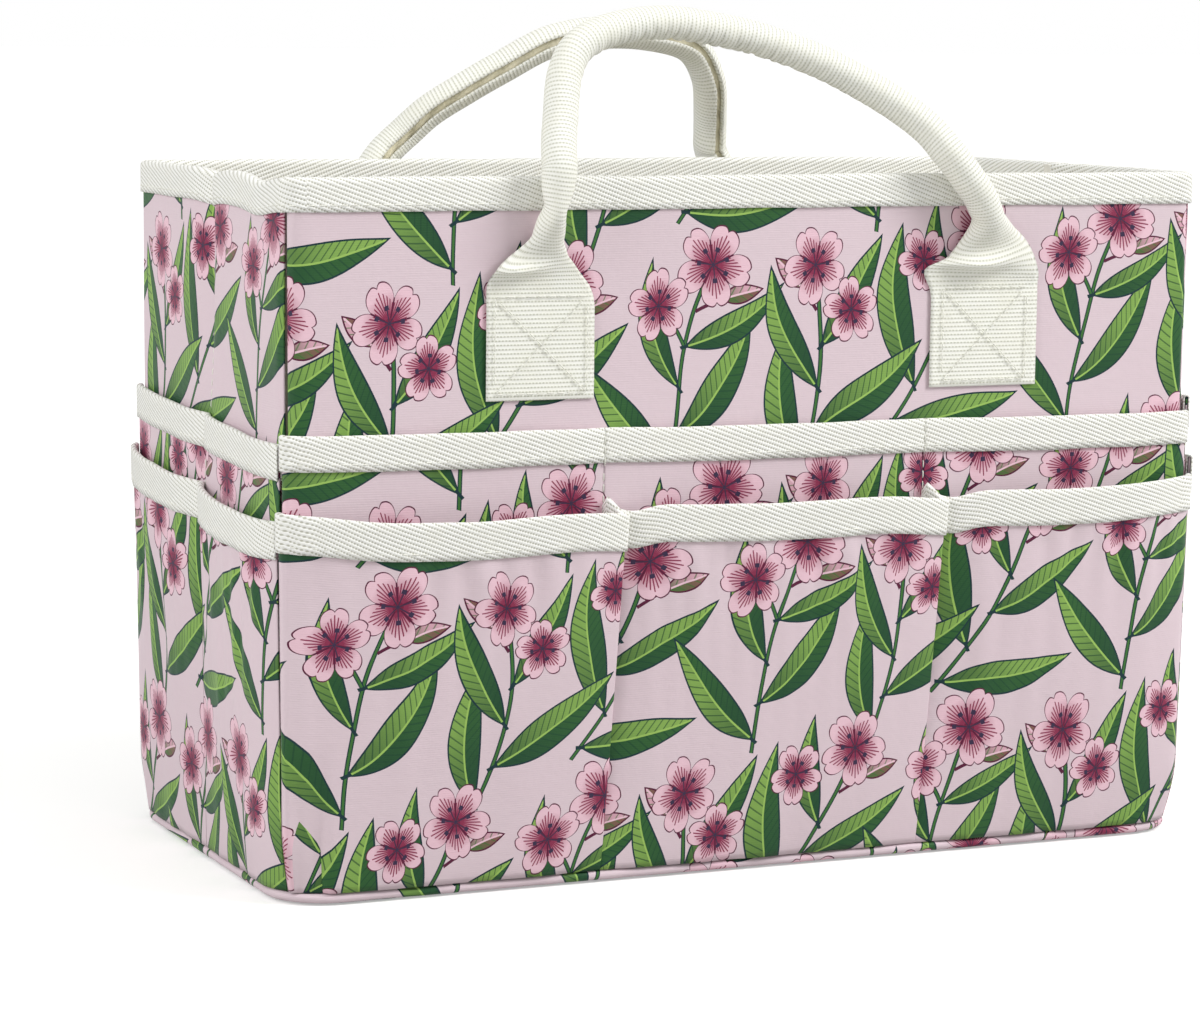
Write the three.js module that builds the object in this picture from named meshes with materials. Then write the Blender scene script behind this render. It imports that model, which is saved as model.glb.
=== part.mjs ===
// Soft craft storage caddy: a stiffened cloth box with two tiers of sewn pockets all round,
// bound in woven tape, and carried by two handles of rolled webbing.
// Millimetres, +Z up. The origin is at the middle of the base, and the front faces -Y.
// Apart from how the handles lie, the caddy looks the same after half a turn about Z: one half is used twice.
import * as THREE from 'three';

// Body
const bodyLength = 308;
const bodyDepth = 146;
const bodyHeight = 215;
const cornerRadius = 6;
const clearance = 0.3;
const seamGap = 0.3;

// Layers of the wall and base, from outside to inside
const shellCloth = 0.6;
const boardThickness = 2;
const liningCloth = 0.5;

// Rolled seam around the base, made of the shell cloth
const baseRoll = 3;
const baseRollLift = 0.2;
const baseRollReach = 1;

// Woven binding tape
const tapeThickness = 0.5;
const rimTapeDrop = 10;
const pocketTapeDrop = 11.5;

// Crease down the middle of each end, where the tote folds for storage
const creaseDepth = 5;
const creaseReach = 22;
const creaseStart = 100;

// Each panel wraps the corner at its far end and is sewn to the next one just past it,
// so the pockets and handles of the long panels sit a little along from the middle
const wrapPastCorner = 1;
const layoutShift = 1;

// Pockets: the long sides have three in a row, the ends have two
const pocketCloth = 0.5;
const mouthBelowPatch = 9.5;
const tierStep = 20.5;
const dividerSpacing = 109.5;
const longUpperBulge = 1.5;
const longLowerBulge = 9.5;
const endUpperBulge = 1.5;
const endLowerBulge = 6;
const footShare = 0.25;

// Handles
const webbingWidth = 35;
const webbingThickness = 1.2;
const patchSpacing = 151;
const patchHeight = 33;
const patchBelowRim = 34;
const rollSlit = 1.4;
const gatherLength = 30;
const gatherFlatten = 0.72;

// Steps of the faceted curves
const bendSteps = 6;
const handleSteps = 28;
const rollSides = 9;
const hillStops = [0.08, 0.2, 0.5, 0.8, 0.92];
const creaseStops = [-1, -0.6, -0.3, 0, 0.3, 0.6, 1];

// Plan of the wall: arc lengths along one half, from the left end of the straight front
const straightLength = bodyLength - 2 * cornerRadius;
const straightDepth = bodyDepth - 2 * cornerRadius;
const cornerArc = (cornerRadius * Math.PI) / 2;
const endStart = straightLength + cornerArc;
const endStop = endStart + straightDepth;
const halfTurn = endStop + cornerArc;
const creaseAt = endStart + straightDepth / 2;
const longSeam = wrapPastCorner;
const endSeam = endStart + wrapPastCorner;
const frontMiddle = straightLength / 2 + layoutShift;

// Heights
const wallFoot = baseRollLift + baseRoll + clearance;
const wallTop = bodyHeight - tapeThickness - clearance;
const baseBoardFoot = shellCloth + clearance;
const baseLiningFoot = baseBoardFoot + boardThickness + clearance;
const boardFoot = Math.max(wallFoot, baseLiningFoot);
const liningFoot = baseLiningFoot + liningCloth + clearance;
const patchTop = bodyHeight - patchBelowRim;
const upperMouth = patchTop - patchHeight - mouthBelowPatch;
const lowerMouth = upperMouth - tierStep;

// Places of the layers, as distances outwards from the outer face of the wall
const shellMiddle = -shellCloth / 2;
const boardMiddle = -shellCloth - clearance - boardThickness / 2;
const liningMiddle = -shellCloth - boardThickness - 2 * clearance - liningCloth / 2;
const wallInside = liningMiddle - liningCloth / 2;
const upperSeat = clearance + pocketCloth / 2;
const upperMouthStep = tapeThickness + clearance;
const lowerSeat = upperSeat + pocketCloth + clearance;
const lowerMouthStep = upperMouthStep + tapeThickness + clearance;

const clothPrint = { color: '#dcc5cf', roughness: 0.75, metalness: 0 };
const ivoryTape = { color: '#efefe4', roughness: 0.85, metalness: 0 };
const ivoryWebbing = { color: '#eeeee0', roughness: 0.9, metalness: 0 };
const greyBoard = { color: '#b7b1a4', roughness: 0.8, metalness: 0 };
const plainLining = { color: '#efeae2', roughness: 0.7, metalness: 0 };
const cottonCord = { color: '#e4dfd0', roughness: 0.95, metalness: 0 };

const caddy = new THREE.Group();

function addPiece(parent, name, geometry, finish) {
  const mesh = new THREE.Mesh(geometry, new THREE.MeshStandardMaterial(finish));
  mesh.name = name;
  parent.add(mesh);
  return mesh;
}

// How far the end wall is drawn in at its crease: a sharp fold that fades out downwards and sideways
function creaseAmount(run, z) {
  const rise = Math.max(0, z - creaseStart) / (bodyHeight - creaseStart);
  const nearness = Math.max(0, 1 - Math.abs(run - creaseAt) / creaseReach);
  return creaseDepth * rise ** 2 * nearness ** 2;
}

// A point at arc length s around the wall, at height z, offset outwards from the wall's outer face
function wallPoint(s, z, offset) {
  const turns = Math.floor(s / halfTurn);
  const run = s - turns * halfTurn;
  const clamp = THREE.MathUtils.clamp;
  const x = clamp(run, 0, straightLength) - straightLength / 2;
  const y = clamp(run - endStart, 0, straightDepth) - straightDepth / 2;
  const turned = clamp(run - straightLength, 0, cornerArc) + Math.max(run - endStop, 0);
  const angle = turned / cornerRadius - Math.PI / 2;
  const reach = cornerRadius + offset;
  const side = turns % 2 === 0 ? 1 : -1;
  return new THREE.Vector3(
    side * (x + reach * Math.cos(angle) - creaseAmount(run, z)),
    side * (y + reach * Math.sin(angle)),
    z,
  );
}

// Arc lengths at which every layer bends, so that neighbouring layers keep their distance
function bendStops() {
  const stops = [];
  for (let step = 0; step <= bendSteps; step += 1) {
    const along = (cornerArc * step) / bendSteps;
    stops.push(straightLength + along, endStop + along);
  }
  for (const share of creaseStops) {
    stops.push(creaseAt + share * creaseReach);
  }
  return stops;
}

function stopsBetween(from, to, extra = []) {
  const apart = 0.5;
  const inner = [...bendStops(), ...extra].filter((s) => s > from + apart && s < to - apart);
  const sorted = inner.sort((a, b) => a - b).filter((s, i, all) => i === 0 || s - all[i - 1] > apart);
  return [from, ...sorted, to];
}

// A closed strip. Each station has a front line and a back line with as many points.
// Neighbouring stations are joined, and the ends are capped unless the strip runs in a loop.
// Both faces are split along the same diagonals, so stacked strips keep their distance where they warp.
function stripGeometry(stations, loop = false) {
  const count = stations[0].front.length;
  const ring = 2 * count;
  const points = stations.flatMap(({ front, back }) => [...front, ...back.slice().reverse()]);
  const index = [];
  const quad = (a, b, c, d) => index.push(a, b, c, a, c, d);
  const joints = loop ? stations.length : stations.length - 1;
  for (let i = 0; i < joints; i += 1) {
    const here = i * ring;
    const next = ((i + 1) % stations.length) * ring;
    for (let k = 0; k < ring; k += 1) {
      const after = (k + 1) % ring;
      if (k < count) {
        quad(here + k, here + after, next + after, next + k);
      } else {
        quad(here + after, next + after, next + k, here + k);
      }
    }
  }
  if (!loop) {
    const last = (stations.length - 1) * ring;
    for (let k = 0; k < count - 1; k += 1) {
      quad(k, ring - 1 - k, ring - 2 - k, k + 1);
      quad(last + k, last + k + 1, last + ring - 2 - k, last + ring - 1 - k);
    }
  }
  let volume = 0;
  for (let i = 0; i < index.length; i += 3) {
    const [a, b, c] = [points[index[i]], points[index[i + 1]], points[index[i + 2]]];
    volume += a.dot(b.clone().cross(c));
  }
  const geometry = new THREE.BufferGeometry().setFromPoints(points);
  geometry.setIndex(volume > 0 ? index : index.reverse());
  geometry.computeVertexNormals();
  return geometry;
}

// A sheet of cloth or board that follows the wall
function sheet(stops, heights, offsetAt, thickness) {
  const line = (s, side) => heights.map((z) => wallPoint(s, z, offsetAt(s, z) + side * thickness));
  return stripGeometry(stops.map((s) => ({ front: line(s, 0.5), back: line(s, -0.5) })));
}

// Tape folded over the top edge of a layer, with one leg on each face
function binding(stops, mouth, drop, offsetAt, layer, loop = false) {
  const inside = layer / 2 + clearance;
  const outside = inside + tapeThickness;
  const foot = mouth - drop;
  const underFold = mouth - tapeThickness;
  const line = (s, top, reach) => [
    wallPoint(s, foot, offsetAt(s, foot) + reach),
    wallPoint(s, top, offsetAt(s, top) + reach),
    wallPoint(s, top, offsetAt(s, top) - reach),
    wallPoint(s, foot, offsetAt(s, foot) - reach),
  ];
  const stations = stops.map((s) => ({ front: line(s, mouth, outside), back: line(s, underFold, inside) }));
  return stripGeometry(stations, loop);
}

// An eight-sided rod through rings given by a centre and two directions
function rod(rings, radius, loop = false) {
  const corner = ({ centre, up, across }, turn) => {
    const angle = (turn + 0.5) * (Math.PI / 4);
    const lift = up.clone().multiplyScalar(radius * Math.sin(angle));
    return across.clone().multiplyScalar(radius * Math.cos(angle)).add(lift).add(centre);
  };
  const half = (ring, order) => order.map((turn) => corner(ring, turn));
  const stations = rings.map((ring) => ({
    front: half(ring, [3, 2, 1, 0]),
    back: half(ring, [4, 5, 6, 7]),
  }));
  return stripGeometry(stations, loop);
}

// Distance of a pocket's cloth from the wall: flat at its seams, standing out between them,
// and more so towards the mouth
function pocketOffset(seams, seat, mouthStep, mouth, bulge) {
  return (s, z) => {
    const rise = THREE.MathUtils.clamp((z - wallFoot) / (mouth - wallFoot), 0, 1);
    const place = Math.max(0, seams.findLastIndex((seam, i) => i < seams.length - 1 && s >= seam));
    const across = (s - seams[place]) / (seams[place + 1] - seams[place]);
    const hill = 1 - Math.abs(2 * across - 1) ** 3;
    return seat + mouthStep * rise + bulge * hill * (footShare + (1 - footShare) * rise ** 0.7);
  };
}

function pocketTier(parent, name, seams, tier) {
  const hills = seams.slice(1).flatMap((seam, i) => {
    const width = seam - seams[i];
    return [...hillStops.map((share) => seams[i] + share * width), seam];
  });
  const stops = stopsBetween(seams[0], seams.at(-1), hills);
  const offsetAt = pocketOffset(seams, tier.seat, tier.mouthStep, tier.mouth, tier.bulge);
  const tapeFoot = tier.mouth - pocketTapeDrop;
  const top = tier.mouth - tapeThickness - clearance;
  const lowBend = wallFoot + (tapeFoot - wallFoot) / 6;
  const heights = [wallFoot, lowBend, (wallFoot + tapeFoot) / 2, tapeFoot, top];
  addPiece(parent, `${name}_pockets`, sheet(stops, heights, offsetAt, pocketCloth), clothPrint);
  const tape = binding(stops, tier.mouth, pocketTapeDrop, offsetAt, pocketCloth);
  addPiece(parent, `${name}_pocket_binding`, tape, ivoryTape);
}

function flatSheet(from, to, heights, middle, thickness) {
  return sheet(stopsBetween(from, to), heights, () => middle, thickness);
}

function walls(parent, names) {
  const half = seamGap / 2;
  const longSpan = [longSeam + half, endSeam - half];
  const endSpan = [endSeam + half, halfTurn + longSeam - half];
  const tapeFoot = bodyHeight - rimTapeDrop;
  const levels = (foot) => [foot, creaseStart, (creaseStart + tapeFoot) / 2, tapeFoot, wallTop];
  const shell = (span, heights) => flatSheet(...span, heights, shellMiddle, shellCloth);
  const lining = (span, heights) => flatSheet(...span, heights, liningMiddle, liningCloth);
  const board = (from, to, heights) => flatSheet(from, to, heights, boardMiddle, boardThickness);
  addPiece(parent, `${names.long}_panel`, shell(longSpan, [wallFoot, wallTop]), clothPrint);
  addPiece(parent, `${names.long}_stiffener`, board(0, straightLength, [boardFoot, wallTop]), greyBoard);
  addPiece(parent, `${names.long}_lining`, lining(longSpan, [liningFoot, wallTop]), plainLining);
  addPiece(parent, `${names.end}_panel`, shell(endSpan, levels(wallFoot)), clothPrint);
  const near = board(endStart, creaseAt - half, levels(boardFoot));
  const far = board(creaseAt + half, endStop, levels(boardFoot));
  addPiece(parent, `${names.end}_stiffener_${names.near}`, near, greyBoard);
  addPiece(parent, `${names.end}_stiffener_${names.far}`, far, greyBoard);
  addPiece(parent, `${names.end}_lining`, lining(endSpan, levels(liningFoot)), plainLining);
}

function pockets(parent, names) {
  const half = seamGap / 2;
  const dividers = [frontMiddle - dividerSpacing / 2, frontMiddle + dividerSpacing / 2];
  const longSeams = [longSeam + half, ...dividers, endSeam - half];
  const endSeams = [endSeam + half, creaseAt, halfTurn + longSeam - half];
  const upper = { seat: upperSeat, mouthStep: upperMouthStep, mouth: upperMouth };
  const lower = { seat: lowerSeat, mouthStep: lowerMouthStep, mouth: lowerMouth };
  pocketTier(parent, `${names.long}_upper`, longSeams, { ...upper, bulge: longUpperBulge });
  pocketTier(parent, `${names.long}_lower`, longSeams, { ...lower, bulge: longLowerBulge });
  pocketTier(parent, `${names.end}_upper`, endSeams, { ...upper, bulge: endUpperBulge });
  pocketTier(parent, `${names.end}_lower`, endSeams, { ...lower, bulge: endLowerBulge });
}

// Routes of the middle of the handles' webbing, from the left patch to the right one, each seen from its own side:
// along the wall from its middle, inwards from the wall, and above the rim.
// The left leg stands up and the right side slants, as the handles rest by themselves.
const rollRadius = (webbingWidth + rollSlit) / (2 * Math.PI);
const patchOut = clearance + webbingThickness / 2;
const rimClear = 2 * clearance + tapeThickness + webbingThickness / 2;
const legOut = rimClear + 2 * rollRadius + clearance;
const legAcross = patchSpacing / 2;
const gatherFoot = patchTop + 2 * clearance - bodyHeight;
const handleRoutes = {
  front: [
    [-legAcross, -patchOut, gatherFoot],
    [-legAcross, -0.16 * legOut, gatherFoot + 7],
    [0.3 - legAcross, -0.58 * legOut, gatherFoot + 14.5],
    [0.9 - legAcross, -0.94 * legOut, gatherFoot + 22],
    [1.9 - legAcross, -legOut, gatherFoot + 29.5],
    [2.8 - legAcross, -legOut, 3.6],
    [3.6 - legAcross, 2 - legOut, 8.5],
    [-69.7, -7, 16.6],
    [-65.4, -0.5, 30.6],
    [-60.3, 2.5, 37.7],
    [-51.6, 4.5, 42.1],
    [-40.1, 6, 44.6],
    [-28.5, 6.2, 45.3],
    [-15, 6.2, 43.7],
    [0.1, 6, 40.9],
    [20, 3, 34.3],
    [32.5, 0.2, 28.3],
    [44.3, -4, 21.1],
    [52.7, -8.2, 14.2],
    [legAcross - 17.4, 1.6 - legOut, 7.2],
    [legAcross - 11.2, -legOut, -1],
    [legAcross - 6.4, -legOut, -7.2],
    [legAcross - 2.4, -0.86 * legOut, gatherFoot + 18.5],
    [legAcross, -0.3 * legOut, gatherFoot + 8.5],
    [legAcross, -patchOut, gatherFoot],
  ],
  back: [
    [-legAcross, -patchOut, gatherFoot],
    [-legAcross, -0.16 * legOut, gatherFoot + 7],
    [1.4 - legAcross, -0.52 * legOut, gatherFoot + 13.5],
    [6 - legAcross, -0.88 * legOut, gatherFoot + 20],
    [13.5 - legAcross, -legOut, gatherFoot + 26.5],
    [18.5 - legAcross, -legOut, -1.2],
    [20.8 - legAcross, 0.4 - legOut, 4.2],
    [-53.4, -10.6, 10],
    [-52, -8, 16.1],
    [-47.6, -1.5, 28.2],
    [-39.7, 2.2, 37.3],
    [-23.4, 5, 41.5],
    [-4.9, 5, 42],
    [12.4, 3, 38.9],
    [28.9, -0.8, 30.1],
    [40.1, -4, 23.4],
    [50.9, -8.5, 16],
    [legAcross - 17.1, 1.6 - legOut, 8.7],
    [legAcross - 8.8, -legOut, 0.4],
    [legAcross - 4.4, -legOut, -6.4],
    [legAcross - 1.4, -0.86 * legOut, gatherFoot + 18.5],
    [legAcross, -0.3 * legOut, gatherFoot + 8.5],
    [legAcross, -patchOut, gatherFoot],
  ],
};

function handleStations(handleRoute) {
  const points = handleRoute.map(
    ([along, inward, above]) =>
      new THREE.Vector3(layoutShift + along, inward - bodyDepth / 2, bodyHeight + above),
  );
  const route = new THREE.CatmullRomCurve3(points);
  const length = route.getLength();
  const front = new THREE.Vector3(0, -1, 0);
  return Array.from({ length: handleSteps + 1 }, (_, i) => {
    const share = i / handleSteps;
    const tangent = route.getTangentAt(share);
    const inward = front.clone().addScaledVector(tangent, -front.dot(tangent)).normalize().negate();
    const fromEnd = length * Math.min(share, 1 - share);
    return {
      middle: route.getPointAt(share),
      inward,
      across: inward.clone().cross(tangent),
      closing: THREE.MathUtils.clamp(fromEnd / gatherLength, 0, 1),
    };
  });
}

// The webbing is flat at its patches and rolls up into a tube whose edges meet on the inner side
function handleStrap(stations) {
  const flatAngle = 0.02;
  const fullAngle = webbingWidth / rollRadius;
  return stripGeometry(
    stations.map(({ middle, inward, across, closing }) => {
      const angle = flatAngle + (fullAngle - flatAngle) * closing ** 2.4;
      const radius = webbingWidth / angle;
      const flatten = closing < 1 ? gatherFlatten : 1;
      const line = (side) =>
        Array.from({ length: rollSides + 1 }, (_, k) => {
          const turn = angle * (k / rollSides - 0.5);
          const reach = radius + side * webbingThickness;
          return middle
            .clone()
            .addScaledVector(inward, flatten * (radius - reach * Math.cos(turn)))
            .addScaledVector(across, reach * Math.sin(turn));
        });
      return { front: line(0.5), back: line(-0.5) };
    }),
  );
}

function handleCore(stations) {
  const inside = (rollRadius - webbingThickness / 2) * Math.cos(Math.PI / rollSides);
  const rolled = stations.filter(({ closing }) => closing === 1);
  const rings = rolled.map(({ middle, inward, across }) => ({
    centre: middle.clone().addScaledVector(inward, rollRadius),
    up: inward,
    across,
  }));
  return rod(rings, inside - clearance);
}

function handle(parent, names) {
  const stations = handleStations(handleRoutes[names.long]);
  addPiece(parent, `${names.long}_handle_strap`, handleStrap(stations), ivoryWebbing);
  addPiece(parent, `${names.long}_handle_core`, handleCore(stations), cottonCord);
  for (const [side, word] of [[-1, names.left], [1, names.right]]) {
    const plate = new THREE.BoxGeometry(webbingWidth, webbingThickness, patchHeight);
    const patch = addPiece(parent, `${names.long}_handle_patch_${word}`, plate, ivoryWebbing);
    const y = -bodyDepth / 2 - patchOut;
    patch.position.set(layoutShift + (side * patchSpacing) / 2, y, patchTop - patchHeight / 2);
  }
}

// A flat plate with the plan of the wall, drawn in by an inset
function basePlate(inset, foot, thickness) {
  const corners = loopStops().map((s) => wallPoint(s, 0, -inset));
  const outline = new THREE.Shape(corners.map(({ x, y }) => new THREE.Vector2(x, y)));
  const plate = new THREE.ExtrudeGeometry(outline, { depth: thickness, bevelEnabled: false });
  return plate.translate(0, 0, foot);
}

function loopStops() {
  const half = stopsBetween(0, halfTurn).slice(0, -1);
  return [...half, ...half.map((s) => s + halfTurn)];
}

function base(parent) {
  const rollRadiusHere = baseRoll / 2;
  const panelInset = rollRadiusHere - baseRollReach + clearance;
  const boardInset = shellCloth + clearance;
  const liningInset = boardInset + boardThickness + clearance;
  addPiece(parent, 'base_panel', basePlate(panelInset, 0, shellCloth), clothPrint);
  addPiece(parent, 'base_board', basePlate(boardInset, baseBoardFoot, boardThickness), greyBoard);
  addPiece(parent, 'base_lining', basePlate(liningInset, baseLiningFoot, liningCloth), plainLining);
  const up = new THREE.Vector3(0, 0, 1);
  const rings = loopStops().map((s) => {
    const centre = wallPoint(s, baseRollLift + rollRadiusHere, baseRollReach);
    const outer = wallPoint(s, baseRollLift + rollRadiusHere, baseRollReach + 1);
    return { centre, up, across: outer.sub(centre) };
  });
  addPiece(parent, 'base_rolled_seam', rod(rings, rollRadiusHere, true), clothPrint);
}

function rim(parent) {
  const middle = wallInside / 2;
  const tape = binding(loopStops(), bodyHeight, rimTapeDrop, () => middle, -wallInside, true);
  addPiece(parent, 'rim_binding', tape, ivoryTape);
}

base(caddy);
rim(caddy);
const halves = [
  { long: 'front', end: 'right_end', near: 'front', far: 'rear', left: 'left', right: 'right', turn: 0 },
  { long: 'back', end: 'left_end', near: 'rear', far: 'front', left: 'right', right: 'left', turn: Math.PI },
];
for (const names of halves) {
  const half = new THREE.Group();
  half.rotation.z = names.turn;
  walls(half, names);
  pockets(half, names);
  handle(half, names);
  caddy.add(half);
}

export default caddy;
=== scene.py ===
import bpy
import math
import numpy as np
from functools import partial
from mathutils import Matrix


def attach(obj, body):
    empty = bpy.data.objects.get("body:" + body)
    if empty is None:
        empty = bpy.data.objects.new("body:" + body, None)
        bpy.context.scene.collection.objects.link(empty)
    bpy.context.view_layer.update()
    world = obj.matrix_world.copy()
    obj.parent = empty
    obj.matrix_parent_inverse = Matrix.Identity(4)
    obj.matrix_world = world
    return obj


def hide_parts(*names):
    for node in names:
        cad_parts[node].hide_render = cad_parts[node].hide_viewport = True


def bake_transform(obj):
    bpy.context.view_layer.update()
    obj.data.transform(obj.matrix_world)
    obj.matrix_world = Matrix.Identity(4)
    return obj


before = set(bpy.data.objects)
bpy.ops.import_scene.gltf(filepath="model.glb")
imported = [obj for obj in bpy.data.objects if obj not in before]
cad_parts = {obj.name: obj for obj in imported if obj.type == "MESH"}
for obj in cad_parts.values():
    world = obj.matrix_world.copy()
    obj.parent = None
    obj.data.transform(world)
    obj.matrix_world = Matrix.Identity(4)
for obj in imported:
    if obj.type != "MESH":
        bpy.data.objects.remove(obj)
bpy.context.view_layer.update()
print("frame:", len(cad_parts), "nodes")

# The wall's plan in mm: a rounded rectangle followed by arc length s, from the left end of the straight front.
# The second half is the first one after half a turn. creaseReach is before and after the crease of an end, and seams
# are how far before the straight front, and before the straight end, the cloths are joined on the corners.
wall = {"length": 308, "depth": 146, "height": 215, "corner": 6, "foot": 3.5, "top": 214.2,
        "creaseDepth": 7.5, "creaseReach": (20, 8), "creaseStart": 100, "seams": (-7.2, -4.0), "seamGap": 1.8,
        "footCorner": 17, "footRise": 22, "dips": ((67, 2.2, 9), (115, 2.4, 12))}
straightX = wall["length"] - 2 * wall["corner"]
straightY = wall["depth"] - 2 * wall["corner"]
quarter = wall["corner"] * math.pi / 2
endStart = straightX + quarter
endStop = endStart + straightY
halfTurn = endStop + quarter
creaseAt = endStart + straightY / 2


def bell(distance, reach):
    # e to the minus (distance / reach) squared: 1 at the place itself, close to 0 beyond twice the reach
    return np.exp(-(distance / reach) ** 2)


def wallPoints(s, z, out, creaseReach=wall["creaseReach"]):
    # a point of the wall at arc length s and height z, moved outwards by out, and drawn in at the crease
    # by depth x (share of the height above the crease's start) squared x (nearness to the crease) squared
    s, z, out = np.broadcast_arrays(*(np.asarray(a, float) for a in (s, z, out)))
    turns = np.floor(s / halfTurn)
    run = s - turns * halfTurn
    x = np.clip(run, 0, straightX) - straightX / 2
    y = np.clip(run - endStart, 0, straightY) - straightY / 2
    angle = (np.clip(run - straightX, 0, quarter) + np.maximum(run - endStop, 0)) / wall["corner"] - math.pi / 2
    rise = np.maximum(z - wall["creaseStart"], 0) / (wall["height"] - wall["creaseStart"])
    reach = np.where(run < creaseAt, *creaseReach)
    near = np.maximum(0, 1 - np.abs(run - creaseAt) / reach)
    side = 1 - 2 * (turns % 2)
    px = x + (wall["corner"] + out) * np.cos(angle) - wall["creaseDepth"] * rise ** 2 * near ** 2
    py = y + (wall["corner"] + out) * np.sin(angle)
    # near the foot the corners are pulled in to a rounder plan: distance from a corner's middle, cut to the radius
    low = np.clip(1 - z / wall["footRise"], 0, 1)
    radius = wall["footCorner"]
    dx, dy = np.abs(px) - wall["length"] / 2 + radius, np.abs(py) - wall["depth"] / 2 + radius
    far = np.maximum(np.hypot(dx, dy), 1e-6)
    pull = np.where((dx > 0) & (dy > 0), np.maximum(1 - (radius + out) / far, 0), 0) * low ** 1.5
    px, py = px - np.sign(px) * dx * pull, py - np.sign(py) * dy * pull
    # the top edge of the left end sags beside its crease
    for place, depth, reach in wall["dips"]:
        sag = depth * bell(run - endStart - place, reach) * np.clip(z / wall["height"], 0, 1) ** 6
        z = z - sag * (turns % 2)
    return np.stack([side * px, side * py, z], -1)


def ripple(u, v, span, seed):
    # four sine waves in different directions, averaged: a slow unevenness between -1 and 1
    angles = seed + np.arange(4) * 2.4
    rates = 2 * math.pi / span * np.array([1, 1.3, 1.7, 2.3])
    return sum(np.sin(k * (u * math.cos(a) + v * math.sin(a)) + 1.7 * a) for a, k in zip(angles, rates)) / 4


def stops(start, end, step):
    return np.linspace(start, end, max(2, round((end - start) / step) + 1))


def runAlong(points):
    # length along a row of points, from its first one
    return np.concatenate([[0], np.cumsum(np.linalg.norm(np.diff(points, axis=0), axis=1))])


def clothPlaces(along, across):
    # places on the cloth, a pair for each point of a grid
    return np.stack(np.broadcast_arrays(along, across), -1)


def makeMesh(name, points, faces, cloth, material):
    # points in mm; faces and cloth are lists of arrays, one row of corners or cloth places for each face
    mesh = bpy.data.meshes.new(name)
    corners = np.concatenate([f.ravel() for f in faces]).astype(np.int32)
    sizes = np.concatenate([np.full(len(f), f.shape[1]) for f in faces])
    mesh.vertices.add(len(points))
    mesh.vertices.foreach_set("co", (points * 0.001).astype(np.float32).ravel())
    mesh.loops.add(len(corners))
    mesh.loops.foreach_set("vertex_index", corners)
    mesh.polygons.add(len(sizes))
    mesh.polygons.foreach_set("loop_start", (np.cumsum(sizes) - sizes).astype(np.int32))
    mesh.update(calc_edges=True)
    places = np.concatenate([c.reshape(-1, 2) for c in cloth]) * 0.001
    mesh.uv_layers.new(name="cloth").data.foreach_set("uv", places.astype(np.float32).ravel())
    mesh.shade_smooth()
    mesh.materials.append(material)
    piece = bpy.data.objects.new(name, mesh)
    bpy.context.scene.collection.objects.link(piece)
    return piece


def gridFaces(rows, columns, wrap=None):
    # corners of the faces of a grid; a strip that closes on itself has wrap columns of points
    index = np.arange(rows)[:, None] * (wrap or columns) + np.arange(columns)[None] % (wrap or columns)
    return np.stack([index[:-1, :-1], index[:-1, 1:], index[1:, 1:], index[1:, :-1]], -1).reshape(-1, 4)


def makeSheet(name, points, cloth, material, thickness):
    # a grid of points, rows x columns, given a thickness; cloth has one more column where the strip closes
    rows, columns = cloth.shape[:2]
    faces = gridFaces(rows, columns, points.shape[1])
    places = cloth.reshape(-1, 2)[gridFaces(rows, columns)]
    piece = makeMesh(name, points.reshape(-1, 3), [faces], [places], material)
    wallOfCloth = piece.modifiers.new("cloth thickness", "SOLIDIFY")
    wallOfCloth.thickness = thickness * 0.001
    wallOfCloth.offset = 0
    return piece


def makeTube(name, rings, cloth, caps, material):
    # closed rings of points joined along a path; caps are the faces that close a ring at each end
    rows, columns = rings.shape[:2]
    faces = gridFaces(rows, columns + 1, columns)
    places = cloth.reshape(-1, 2)[gridFaces(rows, columns + 1)]
    ends = np.concatenate([caps[:, ::-1], caps + (rows - 1) * columns])
    return makeMesh(name, rings.reshape(-1, 3), [faces[:, ::-1], ends[:, ::-1]],
                    [places[:, ::-1], np.zeros((*ends.shape, 2))], material)


def standFor(piece, slot, *nodes, body="caddy"):
    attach(piece, body)
    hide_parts(*nodes)
    return piece


def toLinear(hexColour):
    channel = np.array([int(hexColour[i:i + 2], 16) for i in (1, 3, 5)]) / 255
    linear = np.where(channel <= 0.04045, channel / 12.92, ((channel + 0.055) / 1.055) ** 2.4)
    return (*linear.tolist(), 1.0)


def fillInputs(node, inputs):
    # links or fills a node's inputs: a dictionary goes by their names, a list by the order of those that are in use
    if isinstance(inputs, dict):
        pairs = [(node.inputs[name], value) for name, value in inputs.items()]
    else:
        pairs = zip([socket for socket in node.inputs if socket.enabled], inputs)
    for socket, value in pairs:
        if isinstance(value, bpy.types.NodeSocket):
            node.id_data.links.new(value, socket)
        else:
            socket.default_value = value


def addNode(tree, kind, inputs=(), **settings):
    # adds a node of a kind, or kind.operation, sets it up, fills its inputs and gives its first output in use
    kind, _, operation = kind.partition(".")
    node = tree.nodes.new("ShaderNode" + kind)
    if operation:
        settings["data_type" if kind == "Mix" else "operation"] = operation
    for name, value in settings.items():
        setattr(node, name, value)
    fillInputs(node, inputs)
    return next(output for output in node.outputs if output.enabled)


def newGroup(name, sockets):
    tree = bpy.data.node_groups.new(name, "ShaderNodeTree")
    for label, kind in sockets.items():
        tree.interface.new_socket(label, in_out="INPUT", socket_type="NodeSocket" + kind)
    tree.interface.new_socket("Colour", in_out="OUTPUT", socket_type="NodeSocketColor")
    return tree, tree.nodes.new("NodeGroupInput").outputs


def newMaterial(name):
    # a material, the function that adds a node to it, and its shader
    material = bpy.data.materials.new(name)
    material.use_nodes = True
    return material, partial(addNode, material.node_tree), material.node_tree.nodes["Principled BSDF"]


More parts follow.
